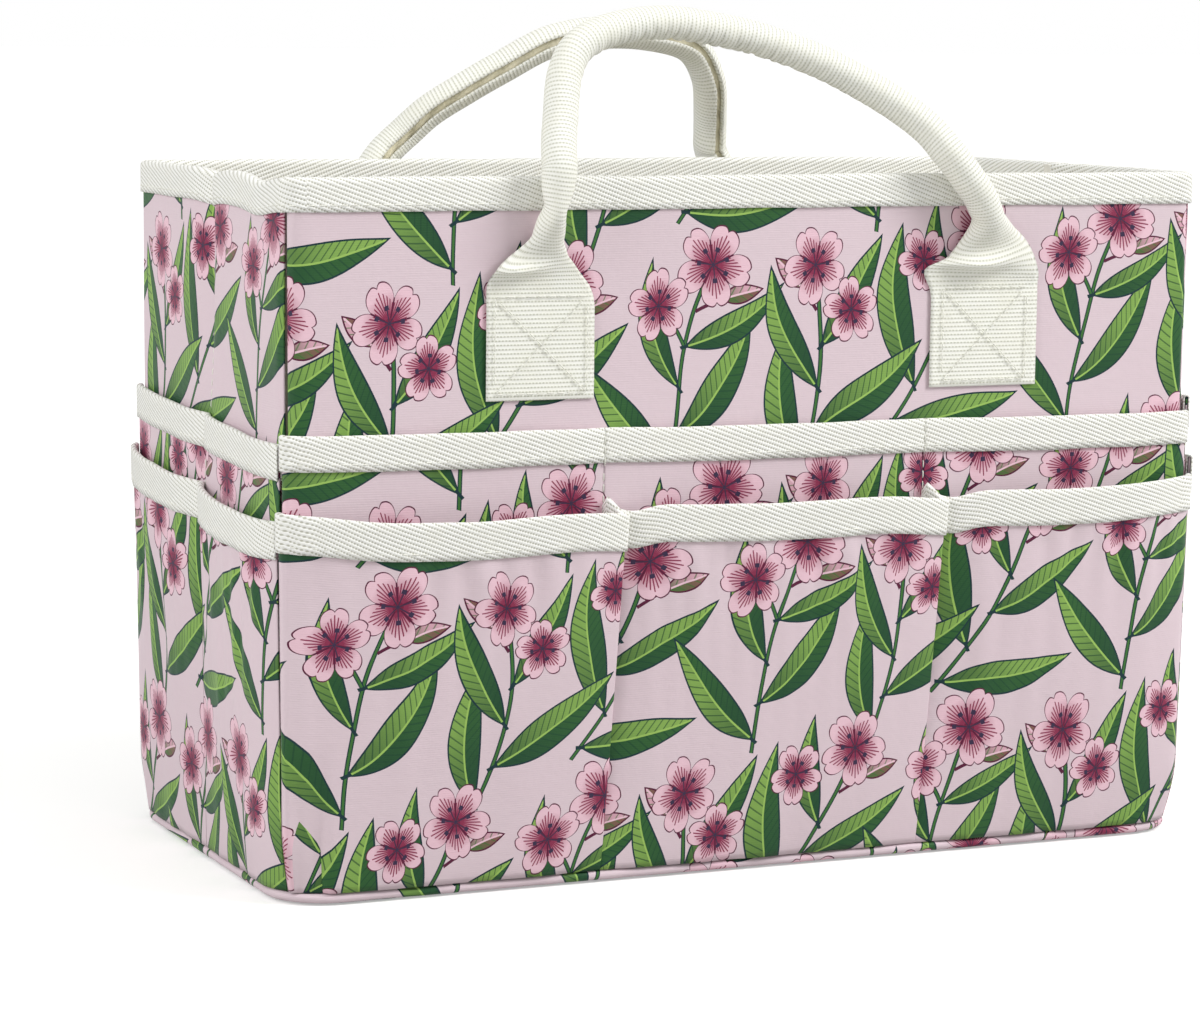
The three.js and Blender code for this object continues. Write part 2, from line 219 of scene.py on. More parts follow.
def clothMaterial(name):
    # a material whose pattern follows the cloth: also its places in mm, and those along and across it
    material, add, shader = newMaterial(name)
    place = add("UVMap", uv_map="cloth")
    cloth = add("VectorMath.SCALE", [place, 1000.0])
    return material, add, shader, cloth, add("SeparateXYZ", [cloth]).node.outputs


# The print: upright sprigs of leaves and five-petalled blossoms, repeated on a tile of cloth.
# Places and lengths are in mm on the tile, angles in degrees.
printDesign = {
    "repeat": (104, 96), "turn": 228, "sway": 3, "swaySpan": 55,
    "ground": "#DECBD2",
    "green": {"dark": "#20452F", "mid": "#3F6F37", "light": "#9BC062", "line": "#1B3438"},
    "rose": {"petal": "#EBC6D2", "rose": "#A44866", "vein": "#8A3450", "throat": "#74243D", "line": "#58203A",
             "stamen": "#3A3048"},
    # x, y, angle, length, bend
    "stems": [(83.7, 50.2, 193.8, 69.2, 0.22), (41.1, 43.6, 253.4, 19.9, 0.2), (41.1, 6.3, 209.4, 69.7, -0.22),
              (5.2, -18.1, 256.7, 16.0, 0.2), (12.8, 36.6, 215.3, 66.3, 0.3), (-23.5, 16.7, 179.4, 15.6, -0.2)],
    # x, y, angle, length, half width, bend
    "leaves": [(79.4, 50.1, 134.6, 45.3, 5.0, 0.29), (66.8, 49.0, 236.5, 51.0, 5.6, -0.38),
               (53.9, 46.8, 159.4, 42.5, 4.7, 0.24), (41.1, 43.6, 240.5, 37.0, 4.1, -0.43),
               (37.8, 3.5, 265.4, 44.3, 4.9, -0.16), (27.9, -4.4, 174.9, 45.6, 5.0, 0.49),
               (16.8, -11.7, 244.0, 41.4, 4.5, -0.45), (5.2, -18.1, 155.5, 38.0, 4.2, 0.31),
               (8.9, 35.2, 235.6, 44.8, 4.9, -0.47), (-2.3, 30.4, 162.9, 48.2, 5.3, 0.14),
               (-13.3, 24.1, 250.7, 42.2, 4.6, -0.3), (-23.5, 16.7, 186.9, 41.3, 4.5, 0.21)],
    "buds": [(21.2, 43.4, 154.3, 14.0, 2.7, -0.1), (-14.0, -18.6, 149.0, 14.0, 2.7, -0.1),
             (-33.3, -0.4, 263.8, 14.0, 2.7, 0.1)],
    # x, y, angle, radius, squash
    "blossoms": [(16.5, 33.8, 48.6, 12.8, 0.94), (35.4, 24.4, 41.1, 10.7, 0.88), (-19.7, -27.9, 50.6, 13.0, 0.97),
                 (1.5, -33.6, 13.4, 12.1, 0.88), (-41.3, -1.8, 32.7, 12.9, 0.85), (-39.1, 16.9, 13.0, 10.5, 0.9)],
}
green, rose = ({name: toLinear(value) for name, value in printDesign[inks].items()} for inks in ("green", "rose"))
halfRepeat = (printDesign["repeat"][0] / 2, printDesign["repeat"][1] / 2, 1)
motifLines = {"leafEdge": 0.55, "leafRib": 0.3, "stem": 0.75, "stemHeart": 0.38, "petalEdge": 0.42,
              "petalParting": 0.45, "petalVein": 1.45, "stamen": 0.22, "stamenDot": 0.85}
motifPlace = {"Under": "Color", "Cloth": "Vector", "Middle": "Vector", "Turn": "Float"}


def startMotif(name, sockets):
    # each motif works in its own place: the nearest repeat of its middle, turned so that x runs along it
    tree, given = newGroup(name, {**motifPlace, **sockets})
    add = partial(addNode, tree)
    # a millionth of the colour beneath is added to the place: the motifs are then worked out one after another,
    # as all at once they need more room than the renderer has
    cloth = add("VectorMath.MULTIPLY_ADD", [given["Under"], (1e-6, 1e-6, 1e-6), given["Cloth"]])
    away = add("VectorMath.SUBTRACT", [cloth, given["Middle"]])
    lows = tuple(-v for v in halfRepeat)
    near = add("VectorMath.WRAP", [away, halfRepeat, lows])
    turned = add("VectorRotate", {"Vector": near, "Angle": given["Turn"]}, rotation_type="Z_AXIS")
    return add, given, turned


def endMotif(add, given, colour, mask):
    # where the mask is 1 the motif covers the colour beneath
    seen = add("Mix.RGBA", [mask, given["Under"], colour])
    fillInputs(seen.id_data.nodes.new("NodeGroupOutput"), [seen])
    return seen.id_data


def alongMotif(add, given, place):
    # for a motif along x: x from its foot, the share of its length, the place across it, and x times its bend
    axes = add("SeparateXYZ", [place]).node.outputs
    x = add("Math.MULTIPLY_ADD", [given["Length"], 0.5, axes[0]])
    share = add("Math.DIVIDE", [x, given["Length"]])
    return x, share, axes[1], add("Math.MULTIPLY", [x, given["Bend"]])


def printedLeaf():
    # a lens along x, bent sideways: half width x (1 - (2t - 1) squared), t the share of the length;
    # inside it a pale midrib, slanting side veins, a dark foot and a thin outline
    add, given, place = startMotif("printed leaf", {"Length": "Float", "Half width": "Float", "Bend": "Float",
                                                     "Stalk": "Float", "Dark": "Color", "Mid": "Color",
                                                     "Light": "Color", "Line": "Color"})
    x, t, y, bent = alongMotif(add, given, place)
    sway = add("Math.SUBTRACT", [t, 0.6])
    middle = add("Math.MULTIPLY", [bent, sway])
    off = add("Math.SUBTRACT", [y, middle])
    away = add("Math.ABSOLUTE", [off])
    m = add("Math.MULTIPLY_ADD", [t, 2.0, -1.0])
    bulge = add("Math.MULTIPLY", [m, m])
    lens = add("Math.SUBTRACT", [1.0, bulge], use_clamp=True)
    skew = add("Math.MULTIPLY_ADD", [m, -0.25, 1.1])
    broad = add("Math.MULTIPLY", [skew, given["Half width"]])
    width = add("Math.MULTIPLY", [lens, broad])
    inside = add("Math.LESS_THAN", [away, width])
    side = add("Math.GREATER_THAN", [off, 0.0])
    lit = add("Math.MULTIPLY_ADD", [t, 0.4, 0.38])
    bright = add("Mix.RGBA", [lit, given["Mid"], given["Light"]])
    dim = add("Math.MULTIPLY_ADD", [t, 0.5, 0.15])
    shaded = add("Mix.RGBA", [dim, given["Dark"], given["Mid"]])
    colour = add("Mix.RGBA", [side, shaded, bright])
    foot = add("Math.MULTIPLY_ADD", [t, -1.5, 0.85], use_clamp=True)
    colour = add("Mix.RGBA", [foot, colour, given["Dark"]])
    back = add("Math.MULTIPLY", [away, -0.34])
    slant = add("Math.MULTIPLY_ADD", [x, 0.36, back])
    share = add("Math.FRACT", [slant])
    vein = add("Math.LESS_THAN", [share, 0.2])
    ink = add("Math.MULTIPLY", [vein, 0.7])
    colour = add("Mix.RGBA", [ink, colour, given["Dark"]])
    rib = add("Math.LESS_THAN", [away, motifLines["leafRib"]])
    colour = add("Mix.RGBA", [rib, colour, given["Light"]])
    edge = add("Math.SUBTRACT", [width, motifLines["leafEdge"]])
    outline = add("Math.GREATER_THAN", [away, edge])
    thin = add("Math.LESS_THAN", [away, motifLines["leafEdge"]])
    past = add("Math.ADD", [x, given["Stalk"]])
    above = add("Math.GREATER_THAN", [past, 0.0])
    below = add("Math.LESS_THAN", [t, 0.04])
    along = add("Math.MULTIPLY", [above, below])
    stalk = add("Math.MULTIPLY", [along, thin])
    drawn = add("Math.MAXIMUM", [outline, stalk])
    colour = add("Mix.RGBA", [drawn, colour, given["Line"]])
    mask = add("Math.MAXIMUM", [inside, stalk])
    return endMotif(add, given, colour, mask)


def printedStem():
    # a line along x, bowed by bend x length x (t squared - t), green between two thin dark edges
    add, given, place = startMotif("printed stem", {"Length": "Float", "Bend": "Float"})
    _, t, y, bent = alongMotif(add, given, place)
    left = add("Math.SUBTRACT", [t, 1.0])
    middle = add("Math.MULTIPLY", [bent, left])
    away = add("Math.COMPARE", [y, middle, motifLines["stem"]])
    heart = add("Math.COMPARE", [y, middle, motifLines["stemHeart"]])
    within = add("Math.COMPARE", [t, 0.5, 0.5])
    mask = add("Math.MULTIPLY", [away, within])
    colour = add("Mix.RGBA", [heart, green["line"], green["mid"]])
    return endMotif(add, given, colour, mask)


def printedBlossom():
    # five petals: radius x (1 - 0.42 c cubed - a notch), c from 0 at a petal's middle to 1 between two;
    # rose at the heart, pale at the rim, thin veins along each petal, a dark eye and seven dotted stamens
    add, given, place = startMotif("printed blossom", {"Radius": "Float", "Squash": "Vector"})
    spread = add("VectorMath.MULTIPLY", [place, given["Squash"]])
    far = add("VectorMath.LENGTH", [spread])
    axes = add("SeparateXYZ", [spread]).node.outputs
    angle = add("Math.ARCTAN2", [axes[1], axes[0]])
    fifth = add("Math.MULTIPLY", [angle, 5 / (2 * math.pi)])
    half = add("Math.PINGPONG", [fifth, 0.5])
    c = add("Math.MULTIPLY", [half, 2.0])
    drop = add("Math.POWER", [c, 3.0])
    tip = add("Math.MULTIPLY_ADD", [c, -4.5, 1.0], use_clamp=True)
    notch = add("Math.MULTIPLY", [tip, tip])
    round1 = add("Math.MULTIPLY_ADD", [drop, -0.42, 1.0])
    round2 = add("Math.MULTIPLY_ADD", [notch, -0.10, round1])
    reach = add("Math.MULTIPLY", [round2, given["Radius"]])
    inside = add("Math.LESS_THAN", [far, reach])
    share = add("Math.DIVIDE", [far, given["Radius"]])
    pale = add("Math.MULTIPLY_ADD", [share, 1.7, -0.26], use_clamp=True)
    colour = add("Mix.RGBA", [pale, rose["rose"], rose["petal"]])
    rays = add("Math.MULTIPLY", [half, 9.0])
    ray = add("Math.PINGPONG", [rays, 0.5])
    gap = add("Math.MULTIPLY", [ray, far])
    fine = add("Math.LESS_THAN", [gap, motifLines["petalVein"]])
    short = add("Math.MULTIPLY_ADD", [c, -0.35, 0.8])
    low = add("Math.LESS_THAN", [share, short])
    vein = add("Math.MULTIPLY", [fine, low])
    colour = add("Mix.RGBA", [vein, colour, rose["vein"]])
    between = add("Math.SUBTRACT", [1.0, c])
    split = add("Math.MULTIPLY", [between, far])
    parting = add("Math.LESS_THAN", [split, motifLines["petalParting"]])
    edge = add("Math.SUBTRACT", [reach, motifLines["petalEdge"]])
    rim = add("Math.GREATER_THAN", [far, edge])
    outline = add("Math.MAXIMUM", [parting, rim])
    colour = add("Mix.RGBA", [outline, colour, rose["line"]])
    eye = add("Math.LESS_THAN", [share, 0.13])
    colour = add("Mix.RGBA", [eye, colour, rose["throat"]])
    seventh = add("Math.MULTIPLY", [angle, 7 / (2 * math.pi)])
    swing = add("Math.PINGPONG", [seventh, 0.5])
    across = add("Math.MULTIPLY", [swing, far])
    fine = add("Math.LESS_THAN", [across, motifLines["stamen"]])
    low = add("Math.LESS_THAN", [share, 0.37])
    thread = add("Math.MULTIPLY", [fine, low])
    wide = add("Math.LESS_THAN", [across, motifLines["stamenDot"]])
    level = add("Math.COMPARE", [share, 0.38, 0.055])
    dot = add("Math.MULTIPLY", [wide, level])
    stamen = add("Math.MAXIMUM", [thread, dot])
    colour = add("Mix.RGBA", [stamen, colour, rose["stamen"]])
    return endMotif(add, given, colour, inside)


def placeMotif(add, group, under, cloth, x, y, turn, length, **values):
    # the middle of a motif is half its length along from its foot
    angle = math.radians(turn)
    middle = (x + math.cos(angle) * length / 2, y + math.sin(angle) * length / 2, 0)
    return add("Group", {"Under": under, "Cloth": cloth, "Middle": middle, "Turn": -angle, **values}, node_tree=group)


def satinPrint():
    # woven polyester satin with a printed design: smooth, a soft sheen along folds, threads too fine to see singly
    material, add, shader, cloth, axes = clothMaterial("printed polyester satin, woven")
    noise = add("TexNoise", {"Vector": cloth, "Scale": 1 / printDesign["swaySpan"], "Detail": 1.0},
                noise_dimensions="2D")
    drift = add("VectorMath.SUBTRACT", [noise.node.outputs["Color"], (0.5, 0.5, 0.5)])
    shift = add("VectorMath.SCALE", [drift, 2.0 * printDesign["sway"]])
    moved = add("VectorMath.ADD", [cloth, shift])
    tile = add("VectorRotate", {"Vector": moved, "Angle": -math.radians(printDesign["turn"])}, rotation_type="Z_AXIS")
    leaf, stem, blossom = printedLeaf(), printedStem(), printedBlossom()
    leafInks = {"Dark": green["dark"], "Mid": green["mid"], "Light": green["light"], "Line": green["line"]}
    budInks = {"Dark": green["mid"], "Mid": rose["rose"], "Light": rose["petal"], "Line": rose["line"]}
    colour = toLinear(printDesign["ground"])
    for x, y, turn, length, bend in printDesign["stems"]:
        colour = placeMotif(add, stem, colour, tile, x, y, turn, length, Length=length, Bend=bend)
    for motif, stalk, inks in (("leaves", 1.5, leafInks), ("buds", 9.0, budInks)):
        for x, y, turn, length, half, bend in printDesign[motif]:
            colour = placeMotif(add, leaf, colour, tile, x, y, turn, length, Length=length, Bend=bend, Stalk=stalk,
                                **{"Half width": half, **inks})
    for x, y, turn, radius, squash in printDesign["blossoms"]:
        colour = placeMotif(add, blossom, colour, tile, x, y, turn, 0, Radius=radius, Squash=(1, 1 / squash, 0))
    # threads of 0.15 mm are drawn 0.7 mm apart so that they show a little
    pick = add("Math.MULTIPLY", [axes[1], 2 * math.pi / 0.7])
    weft = add("Math.SINE", [pick])
    slub = add("TexNoise", {"Vector": cloth, "Scale": 0.35, "Detail": 3.0}, noise_dimensions="2D")
    height = add("Math.MULTIPLY_ADD", [weft, 0.12, slub])
    bump = add("Bump", {"Strength": 0.22, "Distance": 0.0004, "Height": height})
    rough = add("Math.MULTIPLY_ADD", [slub, 0.16, 0.46])
    fillInputs(shader, {"Base Color": colour, "Roughness": rough, "Normal": bump, "Specular IOR Level": 0.14,
                        "Sheen Weight": 0.03, "Sheen Roughness": 0.4})
    return material


def threadShadeAndWear(add, shader, cloth, thread, look):
    # the colour of a coarse weave, set by the height of its threads: pale ridges, and painted shade that darkens the
    # hollows between them; faint soiling in soft patches
    hollow, ridge, soil = (toLinear(colour) for colour in look["colours"])
    wear = add("TexNoise", {"Vector": cloth, "Scale": look["wearScale"], "Detail": 3.0}, noise_dimensions="2D")
    tone = add("MapRange", [thread, look["low"], look["high"], 0.0, 1.0])
    # painted shade: the lower a thread lies, the nearer its colour comes to the dark hollow colour
    colour = add("Mix.RGBA", [tone, hollow, ridge])
    faint = add("MapRange", [wear, 0.35, 0.75, 0.0, look["soiling"]])
    colour = add("Mix.RGBA", [faint, colour, soil])
    bump = add("Bump", {"Strength": look["relief"], "Distance": 0.0003, "Height": thread})
    rough = add("Math.MULTIPLY_ADD", [wear, 0.15, look["roughness"]])
    fillInputs(shader, {"Base Color": colour, "Roughness": rough, "Normal": bump,
                        "Specular IOR Level": look["specular"], "Sheen Weight": look["sheen"]})


def twillTape():
    # cotton herringbone twill tape: slanting ridges of thread that change direction at the tape's middle; sizes in mm
    # of the colours, the first is painted shade for the hollows between the ridges, the second the pale thread of the
    # ridges, the third faint soiling
    look = {"ridge": 1.35, "slope": 0.36, "bead": 0.85, "wearScale": 0.12, "low": -0.05, "high": 0.42,
            "colours": ("#BBBAAC", "#FBFBF7", "#ECEADD"), "soiling": 0.25, "relief": 0.5, "roughness": 0.75,
            "specular": 0.25, "sheen": 0.15}
    material, add, shader, cloth, axes = clothMaterial("cotton twill tape, herringbone weave")
    across = add("Math.ABSOLUTE", [axes[1]])
    slant = add("Math.MULTIPLY_ADD", [axes[0], -look["slope"], across])
    turn = add("Math.MULTIPLY", [slant, 2 * math.pi / look["ridge"]])
    wave = add("Math.SINE", [turn])
    lift = add("Math.MULTIPLY_ADD", [wave, 0.5, 0.5])
    step = add("Math.MULTIPLY", [axes[0], 2 * math.pi / look["bead"]])
    shift = add("Math.MULTIPLY_ADD", [turn, 0.5, step])
    beads = add("Math.SINE", [shift])
    thread = add("Math.MULTIPLY_ADD", [beads, 0.24, lift])
    threadShadeAndWear(add, shader, cloth, thread, look)
    return material


def ribbedWebbing():
    # polypropylene webbing in a plain weave of thick threads: ribs across it, with fine broken hollows between them;
    # sizes in mm. The hollows are deeper in staggered dashes: the stagger is cosine along x cosine across
    # of the colours, the first is painted shade for the hollows between the ribs, the second the pale thread of the
    # ridges, the third faint soiling
    look = {"rib": 1.28, "knot": 1.1, "wearScale": 0.1, "low": 0.0, "high": 0.95,
            "colours": ("#B9BAA4", "#F8F8F1", "#EDEBD9"), "soiling": 0.3, "relief": 0.55, "roughness": 0.62,
            "specular": 0.35, "sheen": 0.1}
    material, add, shader, cloth, axes = clothMaterial("polypropylene webbing, plain weave")
    row = add("Math.MULTIPLY", [axes[0], 1 / look["rib"]])
    away = add("Math.PINGPONG", [row, 0.5])
    hollow = add("Math.MULTIPLY_ADD", [away, -3.0, 1.0], use_clamp=True)
    along = add("Math.MULTIPLY", [row, math.pi])
    over = add("Math.MULTIPLY", [axes[1], 2 * math.pi / look["knot"]])
    wave = add("Math.COSINE", [along])
    cross = add("Math.COSINE", [over])
    stagger = add("Math.MULTIPLY", [wave, cross])
    dash = add("Math.MULTIPLY_ADD", [stagger, 0.3, 0.68])
    sunk = add("Math.MULTIPLY", [hollow, dash])
    thread = add("Math.SUBTRACT", [1.0, sunk])
    threadShadeAndWear(add, shader, cloth, thread, look)
    return material


def plainWeave(name, colours, thread, roughness):
    # plain woven cloth: warp and weft threads cross over and under, drawn coarse enough to show
    material, add, shader, cloth, axes = clothMaterial(name)
    warp = add("Math.MULTIPLY", [axes[0], math.pi / thread])
    weft = add("Math.MULTIPLY", [axes[1], math.pi / thread])
    over = add("Math.SINE", [warp])
    under = add("Math.SINE", [weft])
    cross = add("Math.MULTIPLY", [over, under])
    slub = add("TexNoise", {"Vector": cloth, "Scale": 0.15, "Detail": 4.0}, noise_dimensions="2D")
    # the colour follows the threads' height a little, darker where they dip, as painted shade, and otherwise varies at
    # random with the slub
    tone = add("Math.MULTIPLY_ADD", [cross, 0.2, slub])
    colour = add("Mix.RGBA", [tone, toLinear(colours[0]), toLinear(colours[1])])
    bump = add("Bump", {"Strength": 0.35, "Distance": 0.0003, "Height": tone})
    rough = add("Math.MULTIPLY_ADD", [slub, 0.15, roughness])
    fillInputs(shader, {"Base Color": colour, "Roughness": rough, "Normal": bump, "Specular IOR Level": 0.3})
    return material


def greyBoard():
    # extruded stiffening sheet: dull, faintly mottled
    material, add, shader = newMaterial("polypropylene sheet, extruded")
    place = add("UVMap", uv_map="cloth")
    mottle = add("TexNoise", {"Vector": place, "Scale": 220.0, "Detail": 4.0}, noise_dimensions="2D")
    colour = add("Mix.RGBA", [mottle, toLinear("#A9A396"), toLinear("#C2BCB0")])
    rough = add("Math.MULTIPLY_ADD", [mottle, 0.2, 0.6])
    fillInputs(shader, {"Base Color": colour, "Roughness": rough})
    return material


satin = satinPrint()
tape = twillTape()
webbing = ribbedWebbing()
lining = plainWeave("polyester lining, plain weave", ("#D9D5C8", "#EFEDE4"), 0.9, 0.6)
cordCotton = plainWeave("cotton cord, twisted", ("#DDD6B8", "#F3EDD6"), 0.8, 0.8)
threadCotton = plainWeave("polyester sewing thread, twisted", ("#DAD9CC", "#F6F6F0"), 0.4, 0.5)
board = greyBoard()
print("materials made")

# Panels and linings: cloth outside and inside the boards, in mm
panels = {"step": 2.5, "rowStep": 4, "edgeStops": (0, 0.7, 1.5), "edge": 3, "waveSpan": 90, "seamReach": 1.5,
          "printShift": 1.37}
wallLayers = {
    "panel": {"foot": wall["foot"], "thickness": 0.6, "middle": -0.3, "wave": 0.25, "seamDip": 0.9,
              "creaseReach": wall["creaseReach"], "material": satin, "slot": "print_cloth"},
    "lining": {"foot": 4.6, "thickness": 0.5, "middle": -3.45, "wave": -0.2, "seamDip": 0.0,
               "creaseReach": (22, 22), "material": lining, "slot": "lining_cloth"},
}
halves = [("front", "right_end", 0.0), ("back", "left_end", halfTurn)]
halfSigns = {0.0: np.array([1, 1, 1]), halfTurn: np.array([-1, -1, 1])}
gap = wall["seamGap"] / 2
longSpan = (wall["seams"][0] + gap, endStart + wall["seams"][1] - gap)
endSpan = (endStart + wall["seams"][1] + gap, halfTurn + wall["seams"][0] - gap)


def layerCloth(name, span, turn, layer):
    # the wall's own surface, with a slow wave outwards, and drawn in at both sewn edges
    edge = np.array(panels["edgeStops"])
    middle = stops(span[0] + panels["edge"], span[1] - panels["edge"], panels["step"])
    s = np.concatenate([span[0] + edge, middle, span[1] - edge[::-1]])[None]
    z = stops(layer["foot"], wall["top"], panels["rowStep"])[:, None]
    dip = sum(bell(s - seam, panels["seamReach"]) for seam in span)
    wave = (1 + ripple(s, z, panels["waveSpan"], len(name))) / 2
    out = layer["middle"] + layer["wave"] * wave - layer["seamDip"] * dip
    return wallPoints(s + turn, z, out, layer["creaseReach"]), clothPlaces(s + turn * panels["printShift"], z)


for longName, endName, turn in halves:
    for name, span in ((longName, longSpan), (endName, endSpan)):
        for layerName, layer in wallLayers.items():
            points, cloth = layerCloth(name, span, turn, layer)
            piece = makeSheet(f"{name}_{layerName}_cloth", points, cloth, layer["material"], layer["thickness"])
            standFor(piece, layer["slot"], f"{name}_{layerName}")

# Boards: thin sheets that give way a little at the foot's corners, in mm; an end has two, one each side of its crease
boards = {"thickness": 2.0, "middle": -1.9, "foot": 3.6, "top": 213.8, "fold": 1.5, "edge": 0.3, "step": 3.0,
          "rowStep": 5, "creaseReach": (22, 22)}
boardSpans = [(boards["edge"], straightX - boards["edge"]), (endStart + boards["edge"], creaseAt - boards["fold"]),
              (creaseAt + boards["fold"], endStop - boards["edge"])]
for longName, endName, turn in halves:
    places = ("front", "rear") if endName == "right_end" else ("rear", "front")
    names = [f"{longName}_stiffener", *(f"{endName}_stiffener_{place}" for place in places)]
    for name, span in zip(names, boardSpans):
        s = stops(*span, boards["step"])[None] + turn
        z = stops(boards["foot"], boards["top"], boards["rowStep"])[:, None]
        points = wallPoints(s, z, boards["middle"], boards["creaseReach"])
        piece = makeSheet(name + "_sheet", points, clothPlaces(s, z), board, boards["thickness"])
        standFor(piece, "stiffener_board", name)
print("panels, linings and boards made")

# Base: flat plates with the wall's plan, and the rolled seam that joins them to the walls, in mm
basePlates = {
    "base_panel": {"inset": 0.8, "middle": 0.3, "thickness": 0.6, "material": satin, "slot": "print_cloth"},
    "base_board": {"inset": 0.9, "middle": 1.9, "thickness": 2.0, "material": board, "slot": "stiffener_board"},
    "base_lining": {"inset": 3.2, "middle": 3.45, "thickness": 0.5, "material": lining, "slot": "lining_cloth"},
}
plateGrid = {"count": 65, "printShift": 400, "roundedShare": 0.985}
baseRoll = {"radius": 1.5, "lift": 0.2, "reach": 0.55, "thickness": 0.5, "turn": 0.97, "sides": 15, "step": 2.0,
            "waver": 0.09, "waverSpan": 17, "printShift": 57}


def platePoints(inset, z, count):
    # a square grid pulled into the wall's plan: each square ring becomes the outline, scaled by the ring's size
    a, b = np.meshgrid(np.linspace(-1, 1, count), np.linspace(-1, 1, count))
    ring = np.maximum(np.abs(a), np.abs(b))
    safe = np.maximum(ring, 1e-9)
    a, b = a / safe, b / safe
    sides = [-b >= np.abs(a), a >= np.abs(b), b >= np.abs(a)]
    longRun, endRun = straightX + quarter, straightY + quarter
    s = np.select(sides, [(a + 1) / 2 * longRun, longRun + (b + 1) / 2 * endRun, halfTurn + (1 - a) / 2 * longRun],
                  halfTurn + longRun + (1 - b) / 2 * endRun) - quarter / 2
    points = wallPoints(s, 0, -inset) * ring[..., None]
    points[..., 2] = z
    return points


for name, plate in basePlates.items():
    points = platePoints(plate["inset"], plate["middle"], plateGrid["count"])
    isBoard = name == "base_board"
    piece = makeSheet(name + ("_sheet" if isBoard else "_cloth"), points, points[..., :2] + plateGrid["printShift"],
                      plate["material"], plate["thickness"])
    standFor(piece, plate["slot"], name)


def rolledSeam():
    # cloth turned under into a rod along the foot of the wall, its radius uneven, its edges meeting on the inner side
    s = stops(0, 2 * halfTurn, baseRoll["step"])
    turn = np.linspace(-baseRoll["turn"], baseRoll["turn"], baseRoll["sides"])[:, None] * math.pi
    waver = baseRoll["waver"] * ripple(s, 0, baseRoll["waverSpan"], 3)[None]
    radius = baseRoll["radius"] - baseRoll["thickness"] / 2 + waver
    out = baseRoll["reach"] + radius * np.cos(turn)
    z = baseRoll["lift"] + baseRoll["radius"] + radius * np.sin(turn)
    points = wallPoints(s[None, :-1], z[:, :-1], out[:, :-1])
    cloth = clothPlaces(s[None], baseRoll["radius"] * turn + baseRoll["printShift"])
    return makeSheet("base_rolled_seam_cloth", points, cloth, satin, baseRoll["thickness"])


roll = standFor(rolledSeam(), "print_cloth", "base_rolled_seam")
print("base made")

# Pockets, in mm: tilt is how far a mouth is raised at its strip's start and end, sag how far it hangs in each pocket.
# Each inner divider of the lower row has a knife pleat: the cloth of one pocket folds over past the seam,
# by foldReach at the mouth and nothing at the foot, and runs back behind itself to the seam.
pocketRows = {
    "upper": {"seat": 0.55, "mouthStep": 0.8, "mouth": 138.5, "tapeDrop": 10.6, "bulge": {"long": 1.5, "end": 1.5},
              "foldReach": {"long": 0, "end": 0}, "foldOut": 0, "wave": 0.15, "gather": 0.0,
              "sag": {"long": (0.4, 0.4, 0.4), "end": (0.3, 0.3)}, "tilt": {"long": (2.0, 0), "end": (4.5, -1.0)}},
    "lower": {"seat": 1.35, "mouthStep": 1.6, "mouth": 118, "tapeDrop": 11.5, "bulge": {"long": 9.5, "end": 4.2},
              "foldReach": {"long": 4.6, "end": 0}, "foldOut": 6.0, "wave": 0.6, "gather": 1.9,
              "sag": {"long": (3.4, 2.0, 1.6), "end": (0.6, 0.8)}, "tilt": {"long": (0, 0), "end": (5.5, -3.0)}},
}
# foldDrop is how far a mouth hangs at a pleat's edge, seamRise how far its cloth runs up behind to the seam,
# edgeBead the ridge that a long strip's sewn edge makes
pocketCloth = {"thickness": 0.5, "footShare": 0.12, "columns": 74, "rowStep": 2.0, "waveSpan": 26, "gatherSpan": 15,
               "gatherFade": 34, "foldRadius": 0.6, "foldDrop": 3.6, "foldDropReach": 7, "seamRise": 1.8,
               "edgeBead": 1.2, "edgeBeadAt": 1.4, "edgeBeadReach": 1.1, "edgeDip": 0.8, "edgeDipReach": 3.5,
               "cornerPleat": 2.2, "cornerPleatAt": 11.5, "cornerPleatTop": 48, "cornerPleatFade": 30}
pocketTape = {"stand": 0.8, "head": 0.8, "bend": 0.55, "thickness": 0.5, "step": 1.8, "stitch": 2.1, "waver": 0.25,
              "waverSpan": 60}
layout = {"shift": 1, "dividersApart": 109.5}
dividers = [straightX / 2 + layout["shift"] + side * layout["dividersApart"] / 2 for side in (-1, 1)]
pocketSeams = {"long": [longSpan[0], *dividers, longSpan[1]], "end": [endSpan[0], creaseAt, endSpan[1]]}


def pocketSeat(row, z):
    # how far up its pocket a height is, from 0 to 1, and how far out the cloth is at a seam there
    rise = np.clip((z - wall["foot"]) / (row["mouth"] - wall["foot"]), 0, 1)
    return rise, row["seat"] + row["mouthStep"] * rise


